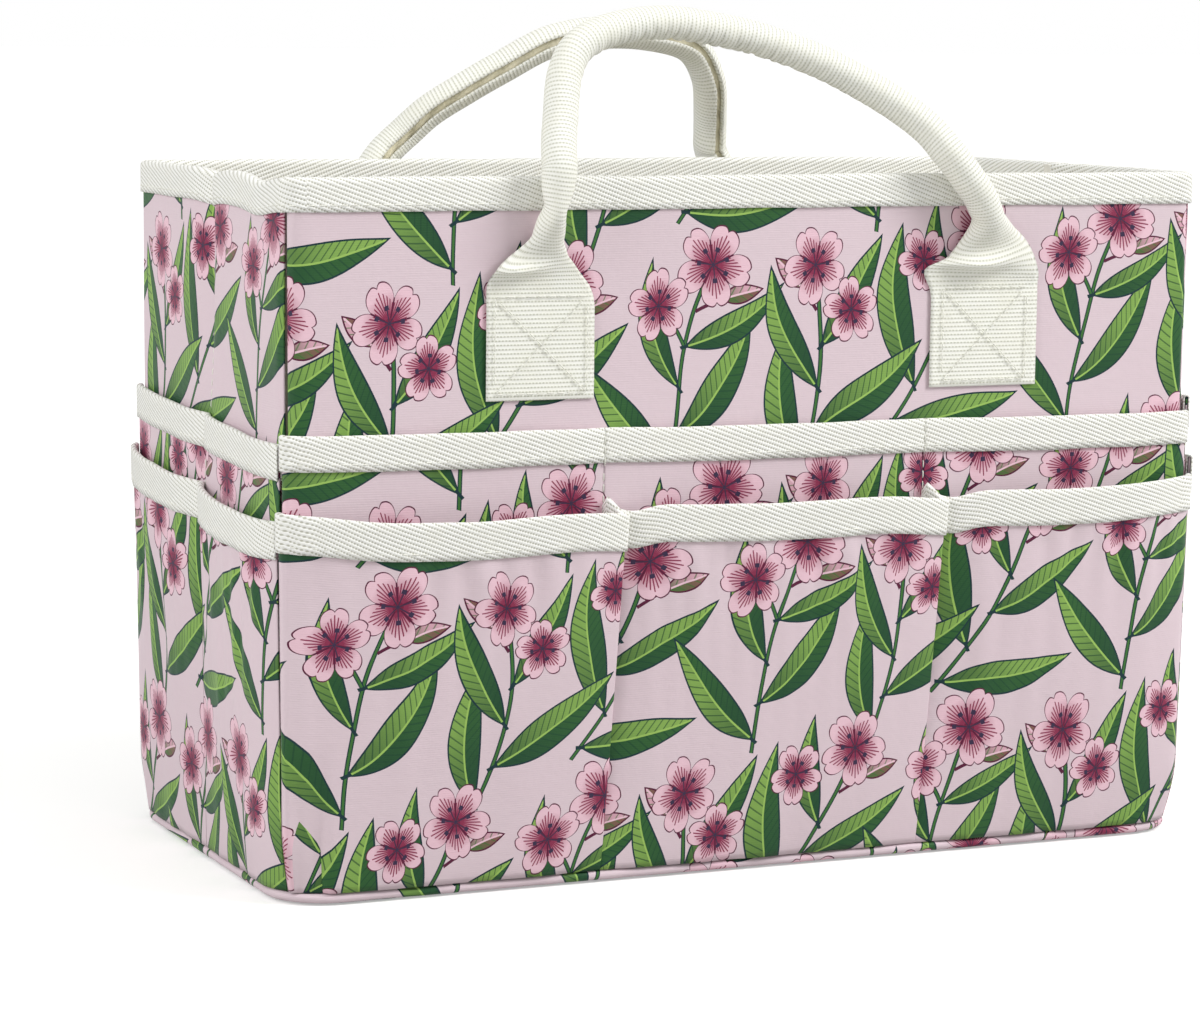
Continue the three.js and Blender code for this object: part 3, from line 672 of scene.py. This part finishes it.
def pocketPlan(row, kind, z):
    # arc length, distance out and fall of the mouth of a row of pockets, at a column of heights z
    seams, cut = pocketSeams[kind], pocketCloth
    rise, seat = pocketSeat(row, z)
    grow = cut["footShare"] + (1 - cut["footShare"]) * rise ** 0.7
    spaced = (1 - np.cos(np.linspace(0, math.pi, cut["columns"])))[None] / 2
    p = 0.5 * spaced + 0.5 * np.linspace(0, 1, cut["columns"])[None]
    hill = 1 - np.abs(2 * p - 1) ** 3
    below = row["mouth"] - row["tapeDrop"] - z
    soft = np.clip((below + 2) / 9, 0, 1) * np.exp(-np.maximum(below, 0) / cut["gatherFade"])
    fold, parts = 0, []
    for k, (start, end) in enumerate(zip(seams[:-1], seams[1:])):
        firstLong, last = kind == "long" and k == 0, k == len(seams) - 2
        foldBefore, fold = fold, 0 if last else row["foldReach"][kind]
        past = fold * rise ** 0.85
        radius = cut["foldRadius"] * np.clip(past / 2, 0, 1)
        s = start + (end + past - radius - start) * p
        # out: a rounded hill, a slow wave and short gathers under the tape
        edge = (row["foldOut"] if fold else 0) * rise ** 0.8
        out = seat + row["bulge"][kind] * grow * hill + edge * np.clip((p - 0.5) / 0.5, 0, 1) ** 2
        out = out + row["wave"] * (1.4 - rise) * hill * ripple(s, 0.12 * z, cut["waveSpan"], 3 * k + len(kind))
        out = out + row["gather"] * soft * hill * ripple(s, 0.1 * z, cut["gatherSpan"], 5 * k + len(kind))
        fall = row["sag"][kind][k] * 4 * p * (1 - p)
        if fold:
            fall = fall + cut["foldDrop"] * np.clip((p - 0.7) / 0.3, 0, 1) ** 2
        if foldBefore:
            fall = fall + 0.8 * cut["foldDrop"] * bell(s - start - cut["foldDropReach"], cut["foldDropReach"])
        if firstLong:
            out = out + cut["edgeBead"] * bell(s - start - cut["edgeBeadAt"], cut["edgeBeadReach"])
        if kind == "end" and last:
            out = out - cut["edgeDip"] * row["seat"] * bell(s - end, cut["edgeDipReach"])
        if firstLong and fold:
            low = np.clip((cut["cornerPleatTop"] - z) / cut["cornerPleatFade"], 0, 1)
            inside = 1 / (1 + np.exp((s - start - cut["cornerPleatAt"]) / 0.35))
            out = out - cut["cornerPleat"] * low * inside * np.clip((s - start) / 4, 0, 1)
        parts.append((s, out, np.broadcast_to(fall, s.shape)))
        if fold:
            # round the pleat's edge, and back behind it to the seam
            edgeOut = out[:, -1:]
            tip = np.linspace(0.5, -0.5, 7)[None, 1:] * math.pi
            s = end + past - radius + radius * np.cos(tip)
            parts.append((s, edgeOut - radius + radius * np.sin(tip), np.full(s.shape, cut["foldDrop"])))
            q = np.linspace(0, 1, 8)[None, 1:-1]
            s, under = end + (past - radius) * (1 - q), edgeOut - 2 * radius
            fall = np.broadcast_to(cut["foldDrop"] * (1 - q) - cut["seamRise"] * q, s.shape)
            parts.append((s, under + (seat - under) * q, fall))
    s, out, fall = (np.concatenate(part, 1) for part in zip(*parts))
    share = (s - seams[0]) / (seams[-1] - seams[0])
    start, end = row["tilt"][kind]
    return s, out, fall - start * (1 - share) - end * share


def pocketPieces(row, rowName, side, kind, turn):
    top = row["mouth"] - pocketTape["head"]
    z = stops(wall["foot"], top, pocketCloth["rowStep"])[:, None]
    s, out, fall = pocketPlan(row, kind, z)
    drop = fall * ((z - wall["foot"]) / (top - wall["foot"])) ** 2
    points = wallPoints(s + turn, z - drop, out)
    run, mouthRun = (runAlong(np.stack([s[k], out[k]], -1)) for k in (len(z) // 2, -1))
    cloth = clothPlaces(run[None] + turn * 2.1 + row["mouth"] * 5, z + row["mouth"] * 3)
    piece = makeSheet(f"{side}_{rowName}_pocket_cloth", points, cloth, satin, pocketCloth["thickness"])
    standFor(piece, "print_cloth", f"{side}_{rowName}_pockets")
    # the tape: down the outer face, over the mouth and down the inner face, at its stand from the cloth's middle
    legs = stops(row["mouth"] - row["tapeDrop"], top, pocketTape["step"])
    bend, stand = np.linspace(0, math.pi, 7)[1:-1], pocketTape["stand"]
    heights = np.concatenate([legs, top + pocketTape["bend"] * np.sin(bend), legs[::-1]])[:, None]
    reach = stand * np.concatenate([np.ones(len(legs)), np.cos(bend), -np.ones(len(legs))])[:, None]
    s, out, fall = pocketPlan(row, kind, heights)
    alongS, alongOut = np.gradient(s, axis=1), np.gradient(out, axis=1)
    size = np.hypot(alongS, alongOut)
    sideS, sideOut = -alongOut / size, alongS / size
    waver = pocketTape["waver"] * ripple(mouthRun[None], heights, pocketTape["waverSpan"], len(side))
    points = wallPoints(s + sideS * reach + turn, heights - fall + waver, out + sideOut * reach)
    down = np.concatenate([row["mouth"] - legs, np.linspace(0.5, -0.5, len(bend)), legs[::-1] - row["mouth"]])
    cloth = clothPlaces(mouthRun[None] + turn, down[:, None])
    binding = makeSheet(f"{side}_{rowName}_pocket_tape", points, cloth, tape, pocketTape["thickness"])
    standFor(binding, "binding_tape", f"{side}_{rowName}_pocket_binding")
    # a row of stitches holds the tape near its lower edge
    seamZ = legs[0] + pocketTape["stitch"] - fall[0] + waver[0]
    face, above = (wallPoints((s + sideS * lift)[0] + turn, seamZ, (out + sideOut * lift)[0])
                   for lift in (stand + 0.25, stand + 1.25))
    sewnRows.append((face, above - face))


sewnRows = []
for longName, endName, turn in halves:
    for side, kind in ((longName, "long"), (endName, "end")):
        for rowName, row in pocketRows.items():
            pocketPieces(row, rowName, side, kind, turn)
print("pockets made")

# Rim tape: one strip folded over the wall's top edge all round, in mm
rim = {"drop": 10, "outer": 0.55, "inner": -4.25, "round": 1.4, "thickness": 0.5, "step": 2.0, "legStep": 1.7,
       "waver": 0.25, "waverSpan": 70}


def rimTape():
    # outer leg, two rounded corners over the top, inner leg, carried along the wall's plan
    top, r = wall["height"] - rim["thickness"] / 2, rim["round"]
    legs = stops(wall["height"] - rim["drop"], top - r, rim["legStep"])
    bend = np.linspace(0, math.pi / 2, 6)
    reach = np.concatenate([np.full(len(legs) - 1, rim["outer"]), rim["outer"] - r + r * np.cos(bend),
                            rim["inner"] + r - r * np.sin(bend), np.full(len(legs) - 1, rim["inner"])])
    height = np.concatenate([legs[:-1], top - r + r * np.sin(bend), top - r + r * np.cos(bend), legs[::-1][1:]])
    run = runAlong(np.stack([reach, height], -1))
    s = stops(0, 2 * halfTurn, rim["step"])[None]
    waver = rim["waver"] * ripple(s, height[:, None], rim["waverSpan"], 2)
    points = wallPoints(s[:, :-1], height[:, None] + waver[:, :-1], reach[:, None])
    cloth = clothPlaces(s, (run[-1] / 2 - run)[:, None])
    return makeSheet("rim_tape", points, cloth, tape, rim["thickness"]), run[-1]


rimPiece, rimWidth = rimTape()
standFor(rimPiece, "binding_tape", "rim_binding")
print("rim tape made")

# Handles: webbing sewn flat at both ends and rolled into a tube between them, in mm. Pairs are for the left end and the
# right one; leftBulge and rightPull are (amount, place, reach) for each end.
handle = {"width": 35, "thickness": 1.2, "slit": 1.4, "columns": 25, "step": 0.9, "patchHeight": 33, "patchTop": 181,
          "patchIn": -0.9, "patchGap": 0.6, "across": 75.5, "rimClear": 1.4, "gather": (15, 21), "spread": (1.0, 1.09),
          "narrow": 0.17, "bead": 0.35, "open": {"front": 0.03, "back": 0.46},
          "neckAt": 26, "neckReach": 6, "neck": (0.38, 0.04),
          "leftBulge": ((0.35, 8.5, 3.5), (0.2, 3, 4)), "rightPull": ((0.18, 4, 5), (-0.12, 12, 7))}
handleFolds = {"buckle": 4.4, "buckleAt": 6.5, "buckleReach": 2.8, "buckleSide": (0.3, -0.1), "buckleShare": 0.3,
               "pucker": 1.2, "puckerSpan": 4.2, "puckerAt": -20, "puckerReach": 38, "puckerDrift": 23}
handleCord = {"radius": {"front": (3.7, 3.7), "back": (5.2, 4.2)}, "lay": 26, "sides": 25, "pastNeck": 8}
rollRadius = (handle["width"] + handle["slit"]) / (2 * math.pi)
legOut = handle["rimClear"] + handle["thickness"] / 2 + 2 * rollRadius
foot = handle["patchTop"] + handle["patchGap"] - wall["height"]
leg = handle["across"]
# the routes: along from the layout's middle, inwards from the wall and above the rim, each seen from its own side
leftPatch = [(-leg, handle["patchIn"], foot - down) for down in (33, 16, 6, 0)]
rightPatch = [(leg, inwards, height) for _, inwards, height in leftPatch[::-1]]
handleRoutes = {
    "front": leftPatch + [
        (-leg, -0.16 * legOut, foot + 7), (0.3 - leg, -0.58 * legOut, foot + 14.5),
        (0.9 - leg, -0.94 * legOut, foot + 22), (1.9 - leg, -legOut, foot + 29.5), (2.8 - leg, -legOut, 3.6),
        (3.6 - leg, 2 - legOut, 8.5), (-69.7, -7, 16.6), (-65.4, -0.5, 30.6), (-60.3, 2.5, 37.7), (-51.6, 4.5, 42.1),
        (-40.1, 6, 44.6), (-28.5, 6.2, 45.3), (-15, 6.2, 43.7), (0.1, 6, 40.9), (20, 3, 34.3),
        (32.5, 0.2, 28.3), (44.3, -4, 21.1), (52.7, -8.2, 14.2), (leg - 17.4, 1.6 - legOut, 7.2),
        (leg - 11.2, -legOut, -1), (leg - 6.4, -legOut, -7.2),
        (leg - 2.4, -0.86 * legOut, foot + 18.5), (leg, -0.3 * legOut, foot + 8.5)] + rightPatch,
    "back": leftPatch + [
        (-leg, -0.16 * legOut, foot + 7), (1.4 - leg, -0.52 * legOut, foot + 13.5),
        (6 - leg, -0.88 * legOut, foot + 20), (13.5 - leg, -legOut, foot + 26.5), (18.5 - leg, -legOut, -1.2),
        (20.8 - leg, 0.4 - legOut, 4.2), (-53.4, -10.6, 10), (-52, -8, 16.1), (-47.6, -1.5, 28.2),
        (-39.7, 2.2, 37.3), (-23.4, 5, 41.5), (-4.9, 5, 42), (12.4, 3, 38.9), (28.9, -0.8, 30.1), (40.1, -4, 23.4),
        (50.9, -8.5, 16), (leg - 17.1, 1.6 - legOut, 8.7), (leg - 8.8, -legOut, 0.4), (leg - 4.4, -legOut, -6.4),
        (leg - 1.4, -0.86 * legOut, foot + 18.5),
        (leg, -0.3 * legOut, foot + 8.5)] + rightPatch,
}


def smoothRoute(points, step):
    # a curve through the points: cubic pieces whose slopes come from the neighbours, spaced by the root of the distance
    extended = np.vstack([2 * points[0] - points[1], points, 2 * points[-1] - points[-2]])
    gaps = np.sqrt(np.linalg.norm(np.diff(extended, axis=0), axis=1))[:, None]
    d = np.diff(extended, axis=0) / gaps
    inSlope = d[:-2] - (extended[2:-1] - extended[:-3]) / (gaps[:-2] + gaps[1:-1]) + d[1:-1]
    outSlope = d[1:-1] - (extended[3:] - extended[1:-2]) / (gaps[1:-1] + gaps[2:]) + d[2:]
    slopes = inSlope * gaps[1:-1], outSlope * gaps[1:-1]
    m0, m1, p0, p1 = (a[:, None] for a in (*slopes, points[:-1], points[1:]))
    t = np.linspace(0, 1, 24, endpoint=False)[None, :, None]
    curve = ((2 * t ** 3 - 3 * t ** 2 + 1) * p0 + (t ** 3 - 2 * t ** 2 + t) * m0
             + (3 * t ** 2 - 2 * t ** 3) * p1 + (t ** 3 - t ** 2) * m1)
    curve = np.vstack([curve.reshape(-1, 3), points[-1:]])
    run = runAlong(curve)
    even = stops(0, run[-1], step)
    return np.stack([np.interp(even, run, curve[:, k]) for k in range(3)], -1), even


def handleFrames(name):
    # the middle of the webbing, with the inward and sideways directions at each place
    points = np.array(handleRoutes[name]) + [layout["shift"], -wall["depth"] / 2, wall["height"]]
    middle, run = smoothRoute(points, handle["step"])
    tangent = np.gradient(middle, axis=0)
    tangent /= np.linalg.norm(tangent, axis=1)[:, None]
    inward = np.array([0, 1, 0]) - tangent[:, 1:2] * tangent
    inward /= np.linalg.norm(inward, axis=1)[:, None]
    return middle, run, inward, np.cross(inward, tangent)


def handlePieces(name, turn):
    middle, run, inward, across = handleFrames(name)
    along = run[:, None]
    fromEnd = np.minimum(along, run[-1] - along) - handle["patchHeight"] - handle["patchGap"]
    first = along < run[-1] / 2
    closing = np.clip(fromEnd / np.where(first, *handle["gather"]), 0, 1)
    # a circular arc of the webbing's width: nearly flat at the patches, almost a full circle where it is rolled,
    # pressed flat as far as the wall behind it asks, and pinched at the neck
    angle = 0.02 + (2 * math.pi - handle["open"][name] - 0.02) * closing
    radius = handle["width"] / angle
    deep = radius * (1 - np.cos(np.minimum(angle / 2, math.pi)))
    room = -wall["depth"] / 2 - middle[:, 1:2] - 1.7
    neck = bell(fromEnd - handle["neckAt"], handle["neckReach"]) * np.where(first, *handle["neck"])
    flatten = np.where(middle[:, 2:] > wall["height"] + 4, 1, np.clip(room / deep, 0.02, 1)) * (1 - 0.5 * neck)
    wide = 1 + (np.where(first, *handle["spread"]) - 1) * (1 - closing)
    narrow = wide * (1 - handle["narrow"] * closing) * (1 - neck)
    share = np.linspace(-0.5, 0.5, handle["columns"])[None]
    turnAt = angle * share
    # beside each patch the webbing stands wide on its left and is drawn in on its right
    rightward = share * np.where(first, 1, -1)
    for setting, sign in ((handle["leftBulge"], -1), (handle["rightPull"], 1)):
        amount, place, reach = (np.where(first, *values) for values in zip(*setting))
        narrow = narrow * np.where(rightward * sign > 0, 1 - sign * amount * bell(fromEnd - place, reach), 1)
    # above each patch the webbing buckles outwards in one fold, higher towards the caddy's left
    folds = handleFolds
    buckle = folds["buckle"] * bell(fromEnd - folds["buckleAt"], folds["buckleReach"])
    buckle = buckle * bell(share + np.where(first, *folds["buckleSide"]), folds["buckleShare"])
    # short puckers on the underside of the front handle's top bend
    beside = bell(middle[:, :1] - folds["puckerAt"], folds["puckerReach"])
    beside = beside * np.clip(0.3 + 0.7 * np.sin(turnAt), 0, 1) * closing
    phase = 2 * math.pi * along / folds["puckerSpan"] + 3.0 * ripple(along, 9 * turnAt, folds["puckerDrift"], 5)
    pucker = -folds["pucker"] * (0.5 + 0.5 * np.sin(phase)) ** 3 * beside * (name == "front")
    lines = []
    for side in (0.5, -0.5):
        bead = handle["bead"] * (np.abs(share) > 0.48) * (side > 0)
        reach = radius + side * handle["thickness"] + pucker + bead
        inwards = flatten * (radius - reach * np.cos(turnAt)) - buckle
        sideways = narrow * reach * np.sin(turnAt)
        lines.append(middle[:, None] + inwards[..., None] * inward[:, None] + sideways[..., None] * across[:, None])
    ring = np.concatenate([lines[0], lines[1][:, ::-1]], 1) * halfSigns[turn]
    width = share[0] * handle["width"]
    over = np.concatenate([width, width[::-1], width[:1]])[None]
    k, columns = np.arange(handle["columns"] - 1), ring.shape[1]
    caps = np.stack([k, k + 1, columns - 2 - k, columns - 1 - k], -1)
    strap = makeTube(name + "_handle_webbing", ring, clothPlaces(along, over), caps, webbing)
    # the cord inside: three strands laid round each other, radius x (0.88 + 0.12 |cos 1.5 (angle - twist)|)
    rolled = fromEnd[:, 0] > handle["neckAt"] + handleCord["pastNeck"]
    along, inward, across = along[rolled], inward[rolled], across[rolled]
    centre = middle[rolled] + radius[rolled] * inward
    sides = np.linspace(0, 2 * math.pi, handleCord["sides"])[None]
    strand = 0.88 + 0.12 * np.abs(np.cos(1.5 * (sides - along * 2 * math.pi / handleCord["lay"])))
    deepRadius, wideRadius = handleCord["radius"][name]
    tube = (centre[:, None] + (deepRadius * strand * np.cos(sides))[..., None] * inward[:, None]
            + (wideRadius * strand * np.sin(sides))[..., None] * across[:, None])
    tube = tube[:, :-1] * halfSigns[turn]
    caps = np.arange(tube.shape[1])[None]
    core = makeTube(name + "_handle_cord", tube, clothPlaces(along, sides * wideRadius), caps, cordCotton)
    return strap, core, run[-1]


for name, _, turn in halves:
    strap, core, length = handlePieces(name, turn)
    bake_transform(strap)
    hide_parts(name + "_handle_strap", name + "_handle_patch_left", name + "_handle_patch_right")
    standFor(core, "handle_cord", name + "_handle_core", body=name + "_handle")
print("handles made")

# Sewing thread, in mm: stitches in rows, each a short rod whose two ends go down into the cloth
thread = {"pitch": 3.3, "length": 2.4, "radius": 0.2, "sunk": 0.26, "sides": 5, "start": 0.4, "lift": 0.3,
          "rowStep": 2.0, "rimStitch": 8.0, "dividerFoot": 100, "patchInset": 2.6, "patchHead": 1.5}


def sewnThread(name, rows):
    # rows are pairs of arrays: places along the row and the cloth's outward direction there
    steps = np.array([0, 0.25, 0.75, 1])
    found = []
    for places, outward in rows:
        run = runAlong(places)
        at = np.arange(thread["start"], run[-1] - thread["length"], thread["pitch"])[:, None] + thread["length"] * steps
        found.append([np.stack([np.interp(at, run, a[:, k]) for k in range(3)], -1) for a in (places, outward)])
    middle, up = (np.concatenate(arrays) for arrays in zip(*found))
    up = up / np.linalg.norm(up, axis=-1, keepdims=True)
    side = np.cross(middle[:, -1:] - middle[:, :1], up)
    side = side / np.linalg.norm(side, axis=-1, keepdims=True)
    middle = middle - up * (thread["sunk"] * np.array([1, 0, 0, 1]))[None, :, None]
    turn = np.arange(thread["sides"])[:, None] * 2 * math.pi / thread["sides"]
    points = middle[:, :, None] + thread["radius"] * (np.cos(turn) * up[:, :, None] + np.sin(turn) * side[:, :, None])
    count, rings, sides = points.shape[:3]
    first = np.arange(count)[:, None, None] * rings * sides
    caps = np.stack([np.arange(sides)[::-1], np.arange(sides) + (rings - 1) * sides])
    faces = [(first + part).reshape(-1, part.shape[1]) for part in (gridFaces(rings, sides + 1, sides), caps)]
    return makeMesh(name, points.reshape(-1, 3), faces, [np.zeros((*f.shape, 2)) for f in faces], threadCotton)


def sewWall(s, z, out, outward=1):
    # a row along the wall or up it, with its outward direction
    here = wallPoints(s, z, out)
    sewnRows.append((here, outward * (wallPoints(s, z, out + 1) - here)))


def sewUpper(s, low, high, over):
    # a row up a seam of the upper pockets, lifted by over above the cloth's middle
    z = stops(low, high, thread["rowStep"])
    sewWall(np.full(len(z), s), z, pocketSeat(pocketRows["upper"], z)[1] + over)


around = stops(0, 2 * halfTurn, thread["rowStep"])
for out, outward in ((rim["outer"], 1), (rim["inner"], -1)):
    sewWall(around, wall["height"] - thread["rimStitch"], out + outward * thread["lift"], outward)
mouth = pocketRows["upper"]["mouth"]
tapeFoot = mouth - pocketRows["upper"]["tapeDrop"]
panelZ = stops(mouth + 3, wall["height"] - rim["drop"] - 1, thread["rowStep"])
half = handle["width"] / 2 - thread["patchInset"]
low = handle["patchTop"] - handle["patchHeight"] + thread["patchInset"]
high = handle["patchTop"] - thread["patchHead"]
patchFace = -wall["depth"] / 2 + handle["patchIn"] - handle["thickness"] / 2 - 0.05
for _, _, turn in halves:
    for s in dividers:
        sewUpper(s + turn, thread["dividerFoot"], tapeFoot - 1, thread["lift"])
        sewUpper(s + turn, tapeFoot, mouth - 1, pocketTape["stand"] + thread["lift"])
    sewWall(np.full(len(panelZ), creaseAt + turn), panelZ, 0.35)
    sewUpper(creaseAt + turn, thread["dividerFoot"], tapeFoot - 1, thread["lift"])
    # each patch has a square of stitches with its two diagonals
    for centre in (layout["shift"] - leg, layout["shift"] + leg):
        corners = np.array([(centre + x * half, patchFace, z) for x, z in ((-1, low), (1, low), (1, high), (-1, high))])
        for ends in ((0, 1), (1, 2), (2, 3), (3, 0), (0, 2), (1, 3)):
            sewnRows.append((corners[list(ends)] * halfSigns[turn], np.array([(0, -1, 0)] * 2) * halfSigns[turn]))
stitches = sewnThread("sewn_stitches", sewnRows)
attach(stitches, "caddy")
print("stitches made:", len(stitches.data.polygons))

# Floor, light and camera, in metres
stage = {"floorReach": 40, "floorDrop": 0.0005, "aim": (0, 0, 0.12), "sensor": 36, "picture": (1200, 1032)}
lamps = {"key": {"at": (1.3, -1.2, 1.45), "size": 0.9, "power": 32.5},
         "fill": {"at": (-1.8, -0.35, 0.9), "size": 1.3, "power": 18.5},
         "top": {"at": (0.0, -0.4, 1.7), "size": 1.4, "power": 3.5}}
# the camera's place, its angles in degrees and its focal length in pixels were worked out from corners of the caddy
# in the picture; middle is the pixel straight ahead of it
view = {"at": (-0.50748, -1.09498, 0.25809), "yaw": 23.74, "pitch": -8.88, "roll": 0.59, "focal": 3726.4,
        "middle": (587.3, 611.6)}


def seenOrMirrored(add):
    ray = add("LightPath").node.outputs
    return add("Math.MAXIMUM", [ray["Is Camera Ray"], ray["Is Glossy Ray"]])


def placeObject(name, data, right, back, at):
    # a lamp or a camera: right runs along its picture's level, back points away from what it looks at
    holder = bpy.data.objects.new(name, data)
    bpy.context.scene.collection.objects.link(holder)
    placed = np.eye(4)
    placed[:3] = np.stack([right, np.cross(back, right), back, at], 1)
    holder.matrix_world = Matrix(placed.tolist())
    return holder


floorMesh = bpy.data.meshes.new("studio_floor")
corners = [(x * stage["floorReach"], y * stage["floorReach"], -stage["floorDrop"])
           for x, y in ((-1, -1), (1, -1), (1, 1), (-1, 1))]
floorMesh.from_pydata(corners, [], [(0, 1, 2, 3)])
floor = bpy.data.objects.new("studio_floor", floorMesh)
bpy.context.scene.collection.objects.link(floor)
# to the camera the paper glows a little, so that it reads as white up to the contact shadow;
# it glows more far off, where the lamps fade; to the object it is greyer, so that less light comes up from below
paper, add, paperShader = newMaterial("matt white paper, rolled out")
seen = seenOrMirrored(add)
far = add("VectorMath.LENGTH", [add("NewGeometry").node.outputs["Position"]])
level = add("MapRange", [far, 0.45, 1.2, 0.36, 0.62])
glow = add("Math.MULTIPLY", [seen, level])
colour = add("Mix.RGBA", [seen, toLinear("#BDBDBB"), toLinear("#F4F4F2")])
fillInputs(paperShader, {"Base Color": colour, "Roughness": 0.9, "Emission Color": (1, 1, 1, 1),
                         "Emission Strength": glow})
floorMesh.materials.append(paper)

world = bpy.data.worlds.new("studio")
bpy.context.scene.world = world
world.use_nodes = True
add = partial(addNode, world.node_tree)
strength = add("MapRange", [seenOrMirrored(add), 0.0, 1.0, 0.45, 1.0])
fillInputs(world.node_tree.nodes["Background"], {"Color": (1, 1, 1, 1), "Strength": strength})

for name, lamp in lamps.items():
    light = bpy.data.lights.new(name, "AREA")
    light.size = lamp["size"]
    light.energy = lamp["power"]
    back = np.array(lamp["at"]) - stage["aim"]
    back = back / np.linalg.norm(back)
    right = np.cross([0, 0, 1], back)
    placeObject(name, light, right / np.linalg.norm(right), back, lamp["at"])

yaw, pitch, roll = (math.radians(view[k]) for k in ("yaw", "pitch", "roll"))
forward = np.array([math.sin(yaw) * math.cos(pitch), math.cos(yaw) * math.cos(pitch), math.sin(pitch)])
level = np.array([math.cos(yaw), -math.sin(yaw), 0])
right = math.cos(roll) * level + math.sin(roll) * np.cross(level, forward)
wide, high = stage["picture"]
lens = bpy.data.cameras.new("camera")
lens.sensor_width = stage["sensor"]
lens.lens = view["focal"] / wide * stage["sensor"]
lens.shift_x = (wide / 2 - view["middle"][0]) / wide
lens.shift_y = (view["middle"][1] - high / 2) / wide
bpy.context.scene.camera = placeObject("camera", lens, right, -forward, view["at"])
bpy.context.scene.view_settings.view_transform = "Standard"
print("stage made")
